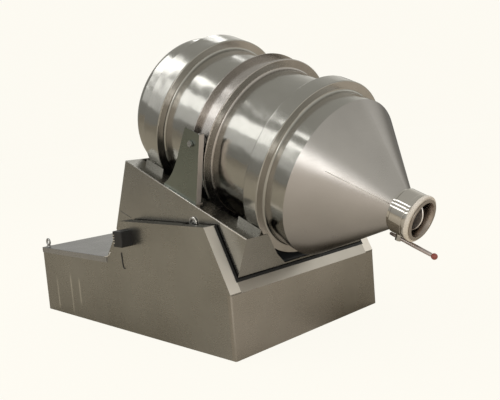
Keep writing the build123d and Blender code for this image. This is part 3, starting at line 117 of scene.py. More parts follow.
class Graph:
    """Small helper that adds nodes to a material or a world."""

    def __init__(self, tree):
        self.tree = tree

    def node(self, kind, **settings):
        """Adds a node with these settings."""
        made = self.tree.nodes.new(kind)
        for key, value in settings.items():
            setattr(made, key, value)
        return made

    def link(self, source, target):
        """Links an output to an input."""
        self.tree.links.new(source, target)

    def feed(self, socket, value):
        """Links an output to a socket, or writes a plain number or colour there."""
        if isinstance(value, bpy.types.NodeSocket):
            self.link(value, socket)
        elif isinstance(value, float):
            socket.default_value = value
        else:
            socket.default_value = (*value, 1.0)

    def coordinates(self, kind="Object"):
        """Object coordinates, or another output of the coordinate node."""
        return self.node("ShaderNodeTexCoord").outputs[kind]

    def place(self, scale=(1.0, 1.0, 1.0)):
        """Object coordinates, scaled."""
        source = self.coordinates()
        mapping = self.node("ShaderNodeMapping")
        mapping.inputs["Scale"].default_value = scale
        self.link(source, mapping.inputs["Vector"])
        return mapping.outputs["Vector"]

    def turned(self, centre, turn):
        """Object coordinates about this centre, turned back by these angles."""
        made = self.node("ShaderNodeMapping", vector_type="TEXTURE")
        made.inputs["Location"].default_value = centre
        made.inputs["Rotation"].default_value = turn
        self.link(self.coordinates(), made.inputs["Vector"])
        return made.outputs["Vector"]

    def axes(self, vector):
        """The X, Y and Z outputs of a vector."""
        made = self.node("ShaderNodeSeparateXYZ")
        self.link(vector, made.inputs[0])
        return made.outputs

    def noise(self, vector, scale, detail=3.0, roughness=0.5):
        """Cloudy noise between 0 and 1."""
        made = self.node("ShaderNodeTexNoise")
        self.link(vector, made.inputs["Vector"])
        made.inputs["Scale"].default_value = scale
        made.inputs["Detail"].default_value = detail
        made.inputs["Roughness"].default_value = roughness
        return made.outputs["Fac"]

    def spread(self, value, low, high, from_low=0.3, from_high=0.7, curve="LINEAR"):
        """Maps a value to a new range."""
        made = self.node("ShaderNodeMapRange", interpolation_type=curve)
        self.link(value, made.inputs["Value"])
        made.inputs["From Min"].default_value = from_low
        made.inputs["From Max"].default_value = from_high
        made.inputs["To Min"].default_value = low
        made.inputs["To Max"].default_value = high
        return made.outputs["Result"]

    def mix(self, factor, first, second):
        """Mixes two colours."""
        made = self.node("ShaderNodeMix", data_type="RGBA")
        self.feed(made.inputs[MIX_FACTOR], factor)
        self.feed(made.inputs[MIX_FIRST], first)
        self.feed(made.inputs[MIX_SECOND], second)
        return made.outputs[MIX_RESULT]

    def maths(self, operation, first, second=0.0):
        """The result of an operation on one or two numbers."""
        made = self.node("ShaderNodeMath", operation=operation)
        self.feed(made.inputs[0], first)
        self.feed(made.inputs[1], second)
        return made.outputs[0]

    def measure(self, operation, vector):
        """The outputs of an operation on one vector: Vector and Value."""
        made = self.node("ShaderNodeVectorMath", operation=operation)
        self.link(vector, made.inputs[0])
        return made.outputs

    def facing(self, vector, way):
        """How far a vector points this way, from -1 to 1."""
        made = self.node("ShaderNodeVectorMath", operation="DOT_PRODUCT")
        self.link(vector, made.inputs[0])
        made.inputs[1].default_value = way
        return made.outputs["Value"]

    def bump(self, height, strength, distance, normal=None):
        """Surface relief, on top of an earlier one where it is given."""
        made = self.node("ShaderNodeBump")
        made.inputs["Strength"].default_value = strength
        made.inputs["Distance"].default_value = distance
        self.link(height, made.inputs["Height"])
        if normal is not None:
            self.link(normal, made.inputs["Normal"])
        return made.outputs["Normal"]


class Finish(Graph):
    """The node graph of a new material, with its shader."""

    def __init__(self, name):
        self.material = bpy.data.materials.new(name)
        self.material.use_nodes = True
        super().__init__(self.material.node_tree)
        self.shader = self.tree.nodes["Principled BSDF"]

    def wear(self, colour, roughness, normal):
        """Feeds the shader's main sockets."""
        self.link(colour, self.shader.inputs["Base Color"])
        self.link(roughness, self.shader.inputs["Roughness"])
        self.link(normal, self.shader.inputs["Normal"])


def shade(colour, share):
    """A colour made darker or lighter by this share."""
    return [c * share for c in colour]


# Lines round the drum follow the radius too, so that they show on the flat side of a ring as well
RADIUS_SHARE = 0.6
AXIS_CLEARANCE = 0.02


def drum_place(graph, fine, slow):
    """Coordinates whose noise runs round the drum: fine along its axis, slow round it."""
    parts = graph.axes(graph.turned(cradle_point(0.0, 0.0, AXIS_RISE), (0.0, TILT, 0.0)))
    squares = [graph.maths("MULTIPLY", parts[axis], parts[axis]) for axis in ("Y", "Z")]
    reach = graph.maths("SQRT", graph.maths("ADD", *squares))
    reach = graph.maths("MAXIMUM", reach, AXIS_CLEARANCE)
    joined = graph.node("ShaderNodeCombineXYZ")
    lines = graph.maths("ADD", parts["X"], graph.maths("MULTIPLY", reach, RADIUS_SHARE))
    graph.link(graph.maths("MULTIPLY", lines, fine), joined.inputs["X"])
    for axis in ("Y", "Z"):
        turn = graph.maths("DIVIDE", parts[axis], reach)
        graph.link(graph.maths("MULTIPLY", turn, slow), joined.inputs[axis])
    return joined.outputs["Vector"]


# Pale runs that the photograph shows on the rear of the side, from this pixel down to this one
RUN_MARK_PIXELS = (
    ((58.5, 276.0), (59.0, 309.0)),
    ((72.0, 272.0), (72.5, 313.0)),
    ((80.5, 277.0), (80.0, 306.0)),
)
RUN_MARK_WIDTH = 0.014
RUN_MARK_CORE = RUN_MARK_WIDTH * 0.3
RUN_MARK_TOP_FADE = 0.05
RUN_MARK_FOOT_FADE = 0.04
RUN_MARK_PALER = 2.0
FRAY_STRETCH, FRAY_SCALE, FRAY_LEAST = (1.0, 1.0, 0.2), 24.0, 0.3


def add_run_marks(graph, tone, light, strength):
    """Mixes the pale runs into a tone."""
    parts = graph.axes(graph.coordinates())
    pale = [min(c, 1.0) for c in shade(light, RUN_MARK_PALER)]
    fray = graph.spread(graph.noise(graph.place(FRAY_STRETCH), FRAY_SCALE), FRAY_LEAST, 1.0)
    for top, foot in RUN_MARK_PIXELS:
        high, low = seen_on_side(top, -CABINET_HALF), seen_on_side(foot, -CABINET_HALF)
        off_line = graph.maths("ABSOLUTE", graph.maths("SUBTRACT", parts["X"], (high.x + low.x) / 2))
        run = graph.spread(off_line, strength, 0.0, RUN_MARK_CORE, RUN_MARK_WIDTH)
        above = graph.spread(parts["Z"], 1.0, 0.0, high.z - RUN_MARK_TOP_FADE, high.z)
        below = graph.spread(parts["Z"], 0.0, 1.0, low.z, low.z + RUN_MARK_FOOT_FADE)
        run = graph.maths("MULTIPLY", graph.maths("MULTIPLY", run, above), below)
        tone = graph.mix(graph.maths("MULTIPLY", run, fray), tone, pale)
    return tone


class Brushing(NamedTuple):
    """How the brushed lines of a sheet show, and how wide its dents are."""

    line_detail: float
    line_share: float
    gloss_change: float
    dent_scale: float


class PaintedFaceHighlight(NamedTuple):
    """Painted highlight: the lighter tone given to the faces that look one way, and how much hazier they are.
    """

    colour: tuple
    way: Vector = CABINET_SLOPE
    haze: float = 0.26


FLAT_BRUSHING = Brushing(line_detail=2.0, line_share=0.05, gloss_change=0.4, dent_scale=3.0)
DRUM_BRUSHING = Brushing(line_detail=4.0, line_share=0.20, gloss_change=1.0, dent_scale=1.0)
FLAT_GRAIN_STRETCH = (2.0, 2.0, 34.0)
DRUM_GRAIN, DRUM_DENTS = (90.0, 3.0), (7.0, 5.0)
GRAIN_SCALE, GRAIN_ROUGHNESS = 6.0, 0.6
CLOUD_SCALE, CLOUD_DETAIL, CLOUD_ROUGHNESS = 2.2, 4.0, 0.55
SMEAR_STRETCH, SMEAR_SCALE, SMEAR_ROUGHNESS = (1.0, 1.0, 0.45), 7.0, 0.6
LINE_SHADE = 0.78
GLOSS_LOW, GLOSS_HIGH = -0.03, 0.04
SMEAR_LOW, SMEAR_HIGH = -0.02, 0.04
SLOPE_START, SLOPE_FULL = 0.96, 0.99
GRIT_DEPTH = 0.0004


def steel(
    name, dark, light, roughness, drum=False, waviness=0.0, edge=1.0, slope=None, grit=0.06, run_marks=0.0
):
    """Brushed stainless steel: cloudy tone, fine grain lines, a slight waviness of thin sheet, and where
    given a painted highlight on the faces that look one way.
    """
    graph = Finish(name)
    brushing = DRUM_BRUSHING if drum else FLAT_BRUSHING
    grain = drum_place(graph, *DRUM_GRAIN) if drum else graph.place(FLAT_GRAIN_STRETCH)
    lines = graph.noise(grain, GRAIN_SCALE, brushing.line_detail, GRAIN_ROUGHNESS)
    clouds = graph.noise(graph.place(), CLOUD_SCALE, CLOUD_DETAIL, CLOUD_ROUGHNESS)
    smears = graph.noise(graph.place(SMEAR_STRETCH), SMEAR_SCALE, roughness=SMEAR_ROUGHNESS)
    tone = graph.mix(graph.spread(clouds, 0.0, 1.0), dark, light)
    tone = graph.mix(graph.spread(lines, 0.0, brushing.line_share), tone, shade(dark, LINE_SHADE))
    if run_marks:
        tone = add_run_marks(graph, tone, light, run_marks)
    rough = graph.maths(
        "ADD",
        graph.spread(
            lines,
            roughness + GLOSS_LOW * brushing.gloss_change,
            roughness + GLOSS_HIGH * brushing.gloss_change,
        ),
        graph.spread(smears, SMEAR_LOW, SMEAR_HIGH),
    )
    # Painted highlight: faces that look the given way get a lighter tone and a hazier gloss
    if slope is not None:
        facing = graph.facing(graph.coordinates("Normal"), slope.way)
        on_painted_highlight = graph.spread(facing, 0.0, 1.0, SLOPE_START, SLOPE_FULL)
        tone = graph.mix(on_painted_highlight, tone, slope.colour)
        rough = graph.maths("ADD", rough, graph.maths("MULTIPLY", on_painted_highlight, slope.haze))
    normal = graph.bump(lines, grit, GRIT_DEPTH)
    if waviness:
        dents = drum_place(graph, *DRUM_DENTS) if drum else graph.place()
        normal = graph.bump(graph.noise(dents, brushing.dent_scale, 1.0), 1.0, waviness, normal)
    graph.wear(tone, rough, normal)
    graph.shader.inputs["Specular Tint"].default_value = (edge, edge, edge, 1.0)
    graph.shader.inputs["Metallic"].default_value = 1.0
    return graph.material


TURNING_STRETCH, TURNING_SCALE, TURNING_DETAIL = (8.0, 8.0, 8.0), 20.0, 4.0
TURNING_SHADE = 0.8
TURNING_GLOSS_LOW, TURNING_GLOSS_HIGH = -0.05, 0.08
TURNING_STRENGTH, TURNING_DEPTH = 0.08, 0.0004


def machined(name, colour, roughness):
    """Turned or plated steel."""
    graph = Finish(name)
    marks = graph.noise(graph.place(TURNING_STRETCH), TURNING_SCALE, TURNING_DETAIL)
    graph.wear(
        graph.mix(graph.spread(marks, 0.0, 1.0), shade(colour, TURNING_SHADE), colour),
        graph.spread(marks, roughness + TURNING_GLOSS_LOW, roughness + TURNING_GLOSS_HIGH),
        graph.bump(marks, TURNING_STRENGTH, TURNING_DEPTH),
    )
    graph.shader.inputs["Metallic"].default_value = 1.0
    return graph.material


DUST_SCALE, DUST_DETAIL, DUST_ROUGHNESS = 5.0, 4.0, 0.6
DUST_DARK, DUST_LIGHT = 0.82, 1.12
DUST_GLOSS_LOW, DUST_GLOSS_HIGH = -0.06, 0.08
SKIN_STRENGTH = 0.25


def coated(name, colour, roughness, grain=60.0, depth=0.0004):
    """Paint, casting skin, rubber or moulded plastic."""
    graph = Finish(name)
    skin = graph.noise(graph.place(), grain)
    dust = graph.noise(graph.place(), DUST_SCALE, DUST_DETAIL, DUST_ROUGHNESS)
    graph.wear(
        graph.mix(graph.spread(dust, 0.0, 1.0), shade(colour, DUST_DARK), shade(colour, DUST_LIGHT)),
        graph.spread(dust, roughness + DUST_GLOSS_LOW, roughness + DUST_GLOSS_HIGH),
        graph.bump(skin, SKIN_STRENGTH, depth),
    )
    return graph.material


# Finish of each material slot
MATERIALS = {
    "cabinet_steel": steel(
        "cabinet_sheet",
        (0.292, 0.282, 0.254),
        (0.345, 0.336, 0.308),
        0.27,
        waviness=0.003,
        edge=0.66,
        # The front slope faces get a near-white tone: painted highlight
        slope=PaintedFaceHighlight((0.92, 0.88, 0.82)),
        grit=0.004,
        run_marks=0.6,
    ),
    "cradle_steel": steel(
        "cradle_sheet",
        (0.300, 0.294, 0.270),
        (0.352, 0.346, 0.322),
        0.25,
        waviness=0.002,
        edge=0.7,
        grit=0.004,
    ),
    "drum_steel": steel(
        "drum_sheet",
        (0.345, 0.340, 0.312),
        (0.410, 0.404, 0.375),
        0.155,
        drum=True,
        waviness=0.003,
        # Faces that look down the drum's axis, the fronts of its rings, get a lighter tone: painted highlight
        slope=PaintedFaceHighlight((0.52, 0.495, 0.465), ALONG, 0.05),
        grit=0.02,
    ),
    "frame_paint": coated("frame_paint", (0.060, 0.064, 0.070), 0.45),
    "bearing_iron": coated("bearing_casting", (0.055, 0.060, 0.066), 0.55, 90.0, 0.0012),
    "machined_steel": machined("machined_steel", (0.42, 0.42, 0.41), 0.28),
    "bolt_steel": machined("bolt_plating", (0.45, 0.45, 0.42), 0.32),
    "oiled_steel": machined("oiled_steel", (0.14, 0.13, 0.12), 0.30),
    "motor_paint": coated("motor_paint", (0.050, 0.075, 0.105), 0.42),
    "trim_rubber": coated("trim_rubber", (0.006, 0.006, 0.006), 0.60),
    "socket_plastic": coated("socket_plastic", (0.008, 0.008, 0.008), 0.42),
    "seat_silicone": coated("seat_silicone", (0.90, 0.82, 0.71), 0.50),
    "knob_plastic": coated("knob_plastic", (0.34, 0.085, 0.065), 0.25),
}

# Finishes of single pieces
# Darker, greener copy of the steel for the stop brackets: painted shade; faces that look down the drum's axis
# get a painted highlight
SHADED_BRACKET_SHEET = steel(
    "bracket_sheet_shaded",
    (0.178, 0.198, 0.174),
    (0.216, 0.237, 0.208),
    0.28,
    edge=0.8,
    slope=PaintedFaceHighlight((0.86, 0.80, 0.76), ALONG),
    grit=0.004,
)
FRONT_SHEET = steel(
    "front_sheet",
    (0.318, 0.298, 0.262),
    (0.372, 0.350, 0.314),
    0.27,
    waviness=0.003,
    edge=0.66,
    # The front slope faces get a lighter tone: painted highlight
    slope=PaintedFaceHighlight((0.56, 0.53, 0.48), haze=0.10),
    grit=0.004,
)
DECK_SHEET = steel(
    "deck_sheet", (0.318, 0.320, 0.322), (0.372, 0.374, 0.380), 0.24, waviness=0.008, edge=0.72, grit=0.004
)
CONE_SHEET = steel(
    "cone_sheet", (0.360, 0.347, 0.330), (0.420, 0.405, 0.387), 0.23, waviness=0.003, edge=0.30, grit=0.003
)
POLISHED = steel("polished_port", (0.50, 0.48, 0.44), (0.60, 0.58, 0.54), 0.05, drum=True, grit=0.01)
HEAD_SHEET = steel(
    "head_sheet", (0.345, 0.340, 0.312), (0.410, 0.404, 0.375), 0.20, waviness=0.003, grit=0.004
)
SCRATCHED = steel(
    "scratched_ring", (0.380, 0.358, 0.335), (0.520, 0.490, 0.460), 0.24, drum=True, waviness=0.003, grit=0.16
)
RIM_METAL = machined("rim_metal", (0.36, 0.32, 0.28), 0.22)
BORE_METAL = machined("bore_metal", (0.38, 0.33, 0.29), 0.18)
# Near-white valve disc, so that its edge shows as a pale streak in the bore: painted highlight
DISC_HIGHLIGHT_METAL = machined("disc_highlight_metal", (0.88, 0.84, 0.80), 0.42)
# Near-white metal for rounded edges, rims and folds: painted highlight
EDGE_HIGHLIGHT = machined("edge_highlight", (0.86, 0.84, 0.80), 0.22)
# Near-white weld metal: a real bead, its pale tone a painted highlight
WELD_HIGHLIGHT = machined("weld_bead_highlight", (0.88, 0.85, 0.82), 0.40)
CONTACT_METAL = machined("contact_metal", (0.80, 0.77, 0.70), 0.30)
LEVER_METAL = machined("lever_metal", (0.50, 0.44, 0.42), 0.30)
HOOK_WIRE = coated("hook_wire", (0.03, 0.03, 0.03), 0.4)
# Near-black for a seam line and for a painted gap shadow
SEAM_AND_SHADOW_MARK = coated("seam_and_shadow_mark", (0.05, 0.05, 0.045), 0.5)
OWN_FINISHES = {
    "stop_bracket_right": SHADED_BRACKET_SHEET,
    "stop_bracket_left": SHADED_BRACKET_SHEET,
    "port_flange": POLISHED,
    "valve_body": POLISHED,
    "deck_panel": DECK_SHEET,
    "drum_cone": CONE_SHEET,
    "cabinet_front": FRONT_SHEET,
    "valve_disc": DISC_HIGHLIGHT_METAL,
    "drum_rear_head": HEAD_SHEET,
    "thrust_ring": SCRATCHED,
}


def dress_nodes():
    """Gives each CAD node its own finish, or that of its material slot."""
    for part in frame["record"]["subparts"]:
        slots = nodes[part["node"]].data.materials
        slots.clear()
        slots.append(OWN_FINISHES.get(part["node"], MATERIALS[part["material_slot"]]))


def add_piece(name, mesh, body, material):
    """Turns a mesh into a piece that rides on a body."""
    data = bpy.data.meshes.new(name)
    mesh.to_mesh(data)
    mesh.free()
    piece = bpy.data.objects.new(name, data)
    bpy.context.scene.collection.objects.link(piece)
    data.materials.append(material)
    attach(piece, body)
    return piece


def join_rings(mesh, first, second):
    """Smooth faces between two closed rings of as many points."""
    count = len(first)
    for index in range(count):
        following = (index + 1) % count
        face = mesh.faces.new((first[index], first[following], second[following], second[index]))
        face.smooth = True


def tube_stations(points, radii, taper):
    """Place, direction and radius of each ring of a tube, whose ends are drawn in by the taper."""
    last = len(points) - 1
    stations = []
    for index, (point, reach) in enumerate(zip(points, radii)):
        way = (points[min(index + 1, last)] - points[max(index - 1, 0)]).normalized()
        set_in = way * reach * (1.0 - taper)
        if index == 0:
            stations.append((point, way, reach * taper))
            stations.append((point + set_in, way, reach))
        elif index == last:
            stations.append((point - set_in, way, reach))
            stations.append((point, way, reach * taper))
        else:
            stations.append((point, way, reach))
    return stations


def add_tube(name, points, radii, body, material, sides=10, taper=0.35):
    """Round bar or weld bead along a few points, with a radius at each, its ends drawn in and closed."""
    stations = tube_stations(points, radii, taper)
    mesh = bmesh.new()
    rings = []
    side_way = stations[0][1].orthogonal().normalized()
    for point, way, reach in stations:
        side_way = (side_way - way * side_way.dot(way)).normalized()
        up_way = way.cross(side_way)
        ring = []
        for turn in range(sides):
            angle = math.tau * turn / sides
            offset = side_way * math.cos(angle) + up_way * math.sin(angle)
            ring.append(mesh.verts.new(point + offset * reach))
        rings.append(ring)
    for first, second in zip(rings, rings[1:]):
        join_rings(mesh, first, second)
    mesh.faces.new(list(reversed(rings[0])))
    mesh.faces.new(rings[-1])
    bmesh.ops.recalc_face_normals(mesh, faces=mesh.faces)
    add_piece(name, mesh, body, material)


# Rounded outer edge of each rail, where its sheet is folded over the cradle side, near-white as a painted
# highlight
RAIL_RISE = 0.099
RAIL_ENDS = (-0.720, 0.418)
RAIL_EDGE_RADIUS = 0.004
RAIL_EDGE_SINK = 0.0032
SIDES = (("right", -1.0), ("left", 1.0))


def add_rail_edges():
    """The rounded edge of both rails, near-white as a painted highlight."""
    for side, sign in SIDES:
        edge_y = sign * (CRADLE_HALF - RAIL_EDGE_SINK)
        ends = [cradle_point(along, edge_y, RAIL_RISE - RAIL_EDGE_SINK) for along in RAIL_ENDS]
        add_tube(
            "rail_edge_" + side, ends, [RAIL_EDGE_RADIUS] * 2, "cradle", EDGE_HIGHLIGHT, sides=12
        )


# Longitudinal weld of the cone, near-white as a painted highlight, from its base to the neck: along and
# radius of both ends of the cone
CONE_BASE = (0.528, 0.467)
CONE_NECK = (0.919, 0.112)
SEAM_TURN = math.radians(68.0)
SEAM_ENDS = (0.640, 0.914)
SEAM_RADIUS = 0.0025
SEAM_SINK = 0.0017


def cone_point(along, turn, sink):
    """A place under the cone's outside, turned from the top towards the right side."""
    share = (along - CONE_BASE[0]) / (CONE_NECK[0] - CONE_BASE[0])
    reach = CONE_BASE[1] + share * (CONE_NECK[1] - CONE_BASE[1]) - sink
    return cradle_point(along, -math.sin(turn) * reach, AXIS_RISE + math.cos(turn) * reach)


def add_cone_seam():
    """The weld bead along the cone, near-white as a painted highlight."""
    ends = [cone_point(along, SEAM_TURN, SEAM_SINK) for along in SEAM_ENDS]
    add_tube("cone_seam", ends, [SEAM_RADIUS] * 2, "drum", WELD_HIGHLIGHT)


# Thin wire hook that hangs on the right side under the socket: how far each point reaches, and its level
HOOK_X = 0.030
HOOK_REACH = (0.0, 0.004, 0.006, 0.012, 0.022, 0.030)
HOOK_LEVELS = (0.518, 0.455, 0.430, 0.418, 0.414, 0.420)
HOOK_RADIUS = 0.0022
HOOK_STAND_OFF = 0.0025


def add_side_hook():
    """The wire hook."""
    hook_y = -CABINET_HALF - HOOK_STAND_OFF
    points = [Vector((HOOK_X + reach, hook_y, level)) for reach, level in zip(HOOK_REACH, HOOK_LEVELS)]
    add_tube("side_hook", points, [HOOK_RADIUS] * len(points), "base", HOOK_WIRE)


# Contact plates that show between the ribs of the socket, a pitch and a half from its ends
CONTACT_COUNT = 4
CONTACT_MARGIN = 1.5
CONTACT_SIZE = Vector((0.0180, 0.0040, 0.0070))
CONTACT_SET_IN = 0.0170
CONTACT_SINK = 0.0017
CONTACT_BEVEL = 0.3
CONTACT_BEVEL_STEPS = 3


def add_socket_contacts():
    """Small metal plates with bevelled edges, one above the other."""
    low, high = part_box("power_socket")
    pitch = (high[2] - low[2]) / (CONTACT_COUNT - 1 + 2 * CONTACT_MARGIN)
    for index in range(CONTACT_COUNT):
        level = low[2] + pitch * (index + CONTACT_MARGIN)
        middle = Vector((low[0] + CONTACT_SET_IN, low[1] + CONTACT_SINK, level))
        mesh = bmesh.new()
        bmesh.ops.create_cube(mesh, size=1.0)
        for vertex in mesh.verts:
            vertex.co = middle + vertex.co * CONTACT_SIZE
        bmesh.ops.bevel(
            mesh,
            geom=mesh.edges[:],
            offset=min(CONTACT_SIZE) * CONTACT_BEVEL,
            segments=CONTACT_BEVEL_STEPS,
            affect="EDGES",
            profile=0.5,
        )
        add_piece(f"socket_contact_{index + 1}", mesh, "base", CONTACT_METAL)


RING_SEGMENTS = 96
CORNERS = ((1, 1), (-1, 1), (-1, -1), (1, -1))


def add_ring(name, ends, inner, outer, rounding, material, steps=4):
    """Ring about the drum's axis that turns with it, its section a rectangle with rounded corners."""
    middle_reach = (inner + outer) / 2
    middle_along = sum(ends) / 2
    half_along = (ends[1] - ends[0]) / 2 - rounding
    half_reach = (outer - inner) / 2 - rounding
    section = []
    for corner, (way_along, way_reach) in enumerate(CORNERS):
        for step in range(steps + 1):
            angle = math.pi / 2 * (corner + step / steps)
            along = middle_along + way_along * half_along + math.cos(angle) * rounding
            reach = middle_reach + way_reach * half_reach + math.sin(angle) * rounding
            section.append((along, reach))
    mesh = bmesh.new()
    rings = []
    for turn in range(RING_SEGMENTS):
        angle = math.tau * turn / RING_SEGMENTS
        ring = []
        for along, reach in section:
            place = cradle_point(along, math.sin(angle) * reach, AXIS_RISE + math.cos(angle) * reach)
            ring.append(mesh.verts.new(place))
        rings.append(ring)
    for first, second in zip(rings, rings[1:] + rings[:1]):
        join_rings(mesh, first, second)
    bmesh.ops.recalc_face_normals(mesh, faces=mesh.faces)
    return add_piece(name, mesh, "drum", material)


# Outlet: a longer body, a wide cream seat and a narrow steel rim, in the place of the plain rings
BORE = 0.0965
BODY_END = 1.015
SLEEVE_END = 1.033
SEAT_END = 1.0565
RIM_END = 1.065
SLEEVE_LAP = 0.004
SLEEVE_RADIUS, SLEEVE_ROUNDING = 0.124, 0.0015
SEAT_RADIUS, SEAT_ROUNDING = 0.1275, 0.005
RIM_RADIUS, RIM_ROUNDING = 0.114, 0.0025
LINER_WALL, LINER_ROUNDING = 0.0004, 0.0001
LINER_ENDS = (0.936, 1.0640)


def add_outlet():
    """Sleeve, seat, rim and the lining of the bore."""
    sleeve_ends = (BODY_END - SLEEVE_LAP, SLEEVE_END)
    add_ring("port_sleeve", sleeve_ends, BORE, SLEEVE_RADIUS, SLEEVE_ROUNDING, POLISHED)
    silicone = MATERIALS["seat_silicone"]
    seat = add_ring(
        "seat_ring", (SLEEVE_END, SEAT_END), BORE, SEAT_RADIUS, SEAT_ROUNDING, silicone
    )
    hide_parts("valve_seat")
    rim = add_ring("front_rim", (SEAT_END, RIM_END), BORE, RIM_RADIUS, RIM_ROUNDING, RIM_METAL)
    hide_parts("valve_front_ring")
    add_ring("bore_liner", LINER_ENDS, BORE - LINER_WALL, BORE, LINER_ROUNDING, BORE_METAL, steps=1)


# Lever bar under the port, thicker towards the ball: along and radius of each point
LEVER_REACH = 0.147
LEVER_STATIONS = ((0.908, 0.0085), (0.965, 0.0100), (1.060, 0.0115), (1.171, 0.0105))


def add_lever_bar():
    """The bar of the valve's hand lever."""
    points = [cradle_point(along, 0.0, AXIS_RISE - LEVER_REACH) for along, _ in LEVER_STATIONS]
    radii = [radius for _, radius in LEVER_STATIONS]
    add_tube("lever_bar", points, radii, "valve", LEVER_METAL, sides=20)


# Turned rim of each pivot boss, near-white as a painted highlight
PIVOT_RIM_RADIUS = 0.0300
PIVOT_RIM_BAR = 0.0045
PIVOT_RIM_PARTS = 40
CLOSED_TAPER = 0.95


def add_pivot_rims():
    """A round bar at the outer end of both pivot shafts, near-white as a painted highlight."""
    for side, sign in SIDES:
        low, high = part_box("pivot_shaft_" + side)
        rim_y = (low[1] if sign < 0 else high[1]) - sign * PIVOT_RIM_BAR
        points = []
        for part in range(PIVOT_RIM_PARTS + 1):
            angle = math.tau * part / PIVOT_RIM_PARTS
            offset = Vector((math.cos(angle), 0.0, math.sin(angle))) * PIVOT_RIM_RADIUS
            points.append(Vector((PIVOT.x, rim_y, PIVOT.z)) + offset)
        radii = [PIVOT_RIM_BAR] * len(points)
        add_tube("pivot_rim_" + side, points, radii, "cradle", EDGE_HIGHLIGHT, taper=CLOSED_TAPER)


# Small marks that the photograph shows on the right side, at these pixels: a dark seam line, a dark line that
# is painted shadow in the gap between the cradle's side and the cabinet's cheek, and the deck's end fold
SEAM_MARK_PIXELS = ((120.0, 210.5), (131.5, 218.0))
GAP_SHADOW_PIXELS = ((123.0, 222.0), (133.0, 221.6))
LIP_PIXELS = ((104.0, 256.8), (107.5, 256.4), (109.5, 254.6), (110.3, 252.4))
MARK_RADIUS = 0.0016
LIP_RADIUS = 0.0045


def add_side_marks():
    """A dark seam line and a dark painted gap shadow on the cradle's side, and the deck's end fold,
    near-white as a painted highlight.
    """
    for name, pixels in (("cradle_seam_mark", SEAM_MARK_PIXELS), ("cradle_gap_shadow", GAP_SHADOW_PIXELS)):
        points = [seen_on_side(pixel, -CRADLE_HALF) for pixel in pixels]
        add_tube(name, points, [MARK_RADIUS] * 2, "cradle", SEAM_AND_SHADOW_MARK, sides=8)
    # The deck's end fold is near-white: painted highlight
    points = [seen_on_side(pixel, -CABINET_HALF) for pixel in LIP_PIXELS]
    add_tube("deck_lip_edge", points, [LIP_RADIUS] * len(points), "base", EDGE_HIGHLIGHT)


# Lamps: name, heading from the drum in degrees, distance and size in metres, and radiance
LAMP_TARGET = Vector((0.75, 0.0, 0.95))
BLIND_COUNT, BLIND_LOWEST, BLIND_STEP = 3, 24.0, 16.0
LAMPS = [
    ("key_window", (-152.0, 52.0), 9.0, (3.0, 3.0), 2.5),
    ("left_window", (-125.0, 36.0), 9.0, (2.8, 2.6), 1.7),
    ("left_glow", (-128.0, 20.0), 9.5, (4.0, 2.4), 0.5),
    ("front_window", (-39.0, -1.0), 8.0, (2.6, 1.7), 1.7),
    ("front_glow", (-38.0, 2.0), 8.5, (5.6, 2.2), 0.45),
    ("right_window", (75.0, 24.0), 9.0, (5.0, 3.0), 0.2),
    ("rear_window", (138.0, 46.0), 9.0, (1.3, 1.6), 2.0),
]
for blind in range(BLIND_COUNT):
    blind_way = (-102.0, BLIND_LOWEST + BLIND_STEP * blind)
    LAMPS.append((f"blind_{blind}", blind_way, 9.0, (3.0, 0.8), 2.2))
ENERGY_PER_RADIANCE = 4.0


def add_lamps():
    """Rectangular lamps turned to the drum; the power of each follows from its radiance and size."""
    for name, way, distance, size, radiance in LAMPS:
        aim = heading(*way)
        data = bpy.data.lights.new(name, "AREA")
        data.shape = "RECTANGLE"
        data.size, data.size_y = size
        data.energy = radiance * ENERGY_PER_RADIANCE * size[0] * size[1]
        lamp = bpy.data.objects.new(name, data)
        bpy.context.scene.collection.objects.link(lamp)
        lamp.location = LAMP_TARGET + aim * distance
        lamp.rotation_euler = aim.to_track_quat("Z", "Y").to_euler()
        lamp.visible_camera = False


# Studio: the tone that the camera and the metal see, and the softer light on everything else
STUDIO_TONE = (0.982, 0.958, 0.885, 1.0)
SOFT_TONE, SOFT_STRENGTH = (1.0, 0.99, 0.97, 1.0), 0.62
WALL_WAY, WALL_LIGHT, WALL_DARK, WALL_SPAN = heading(-155.0, 0.0), 0.86, 0.36, (0.30, 0.95)
OVERHEAD_DARK, OVERHEAD_SPAN = 0.66, (0.30, 0.85)
CORNER_WAY, CORNER_DARK, CORNER_SPAN = heading(123.0, 1.0), 0.10, (0.966, 0.990)


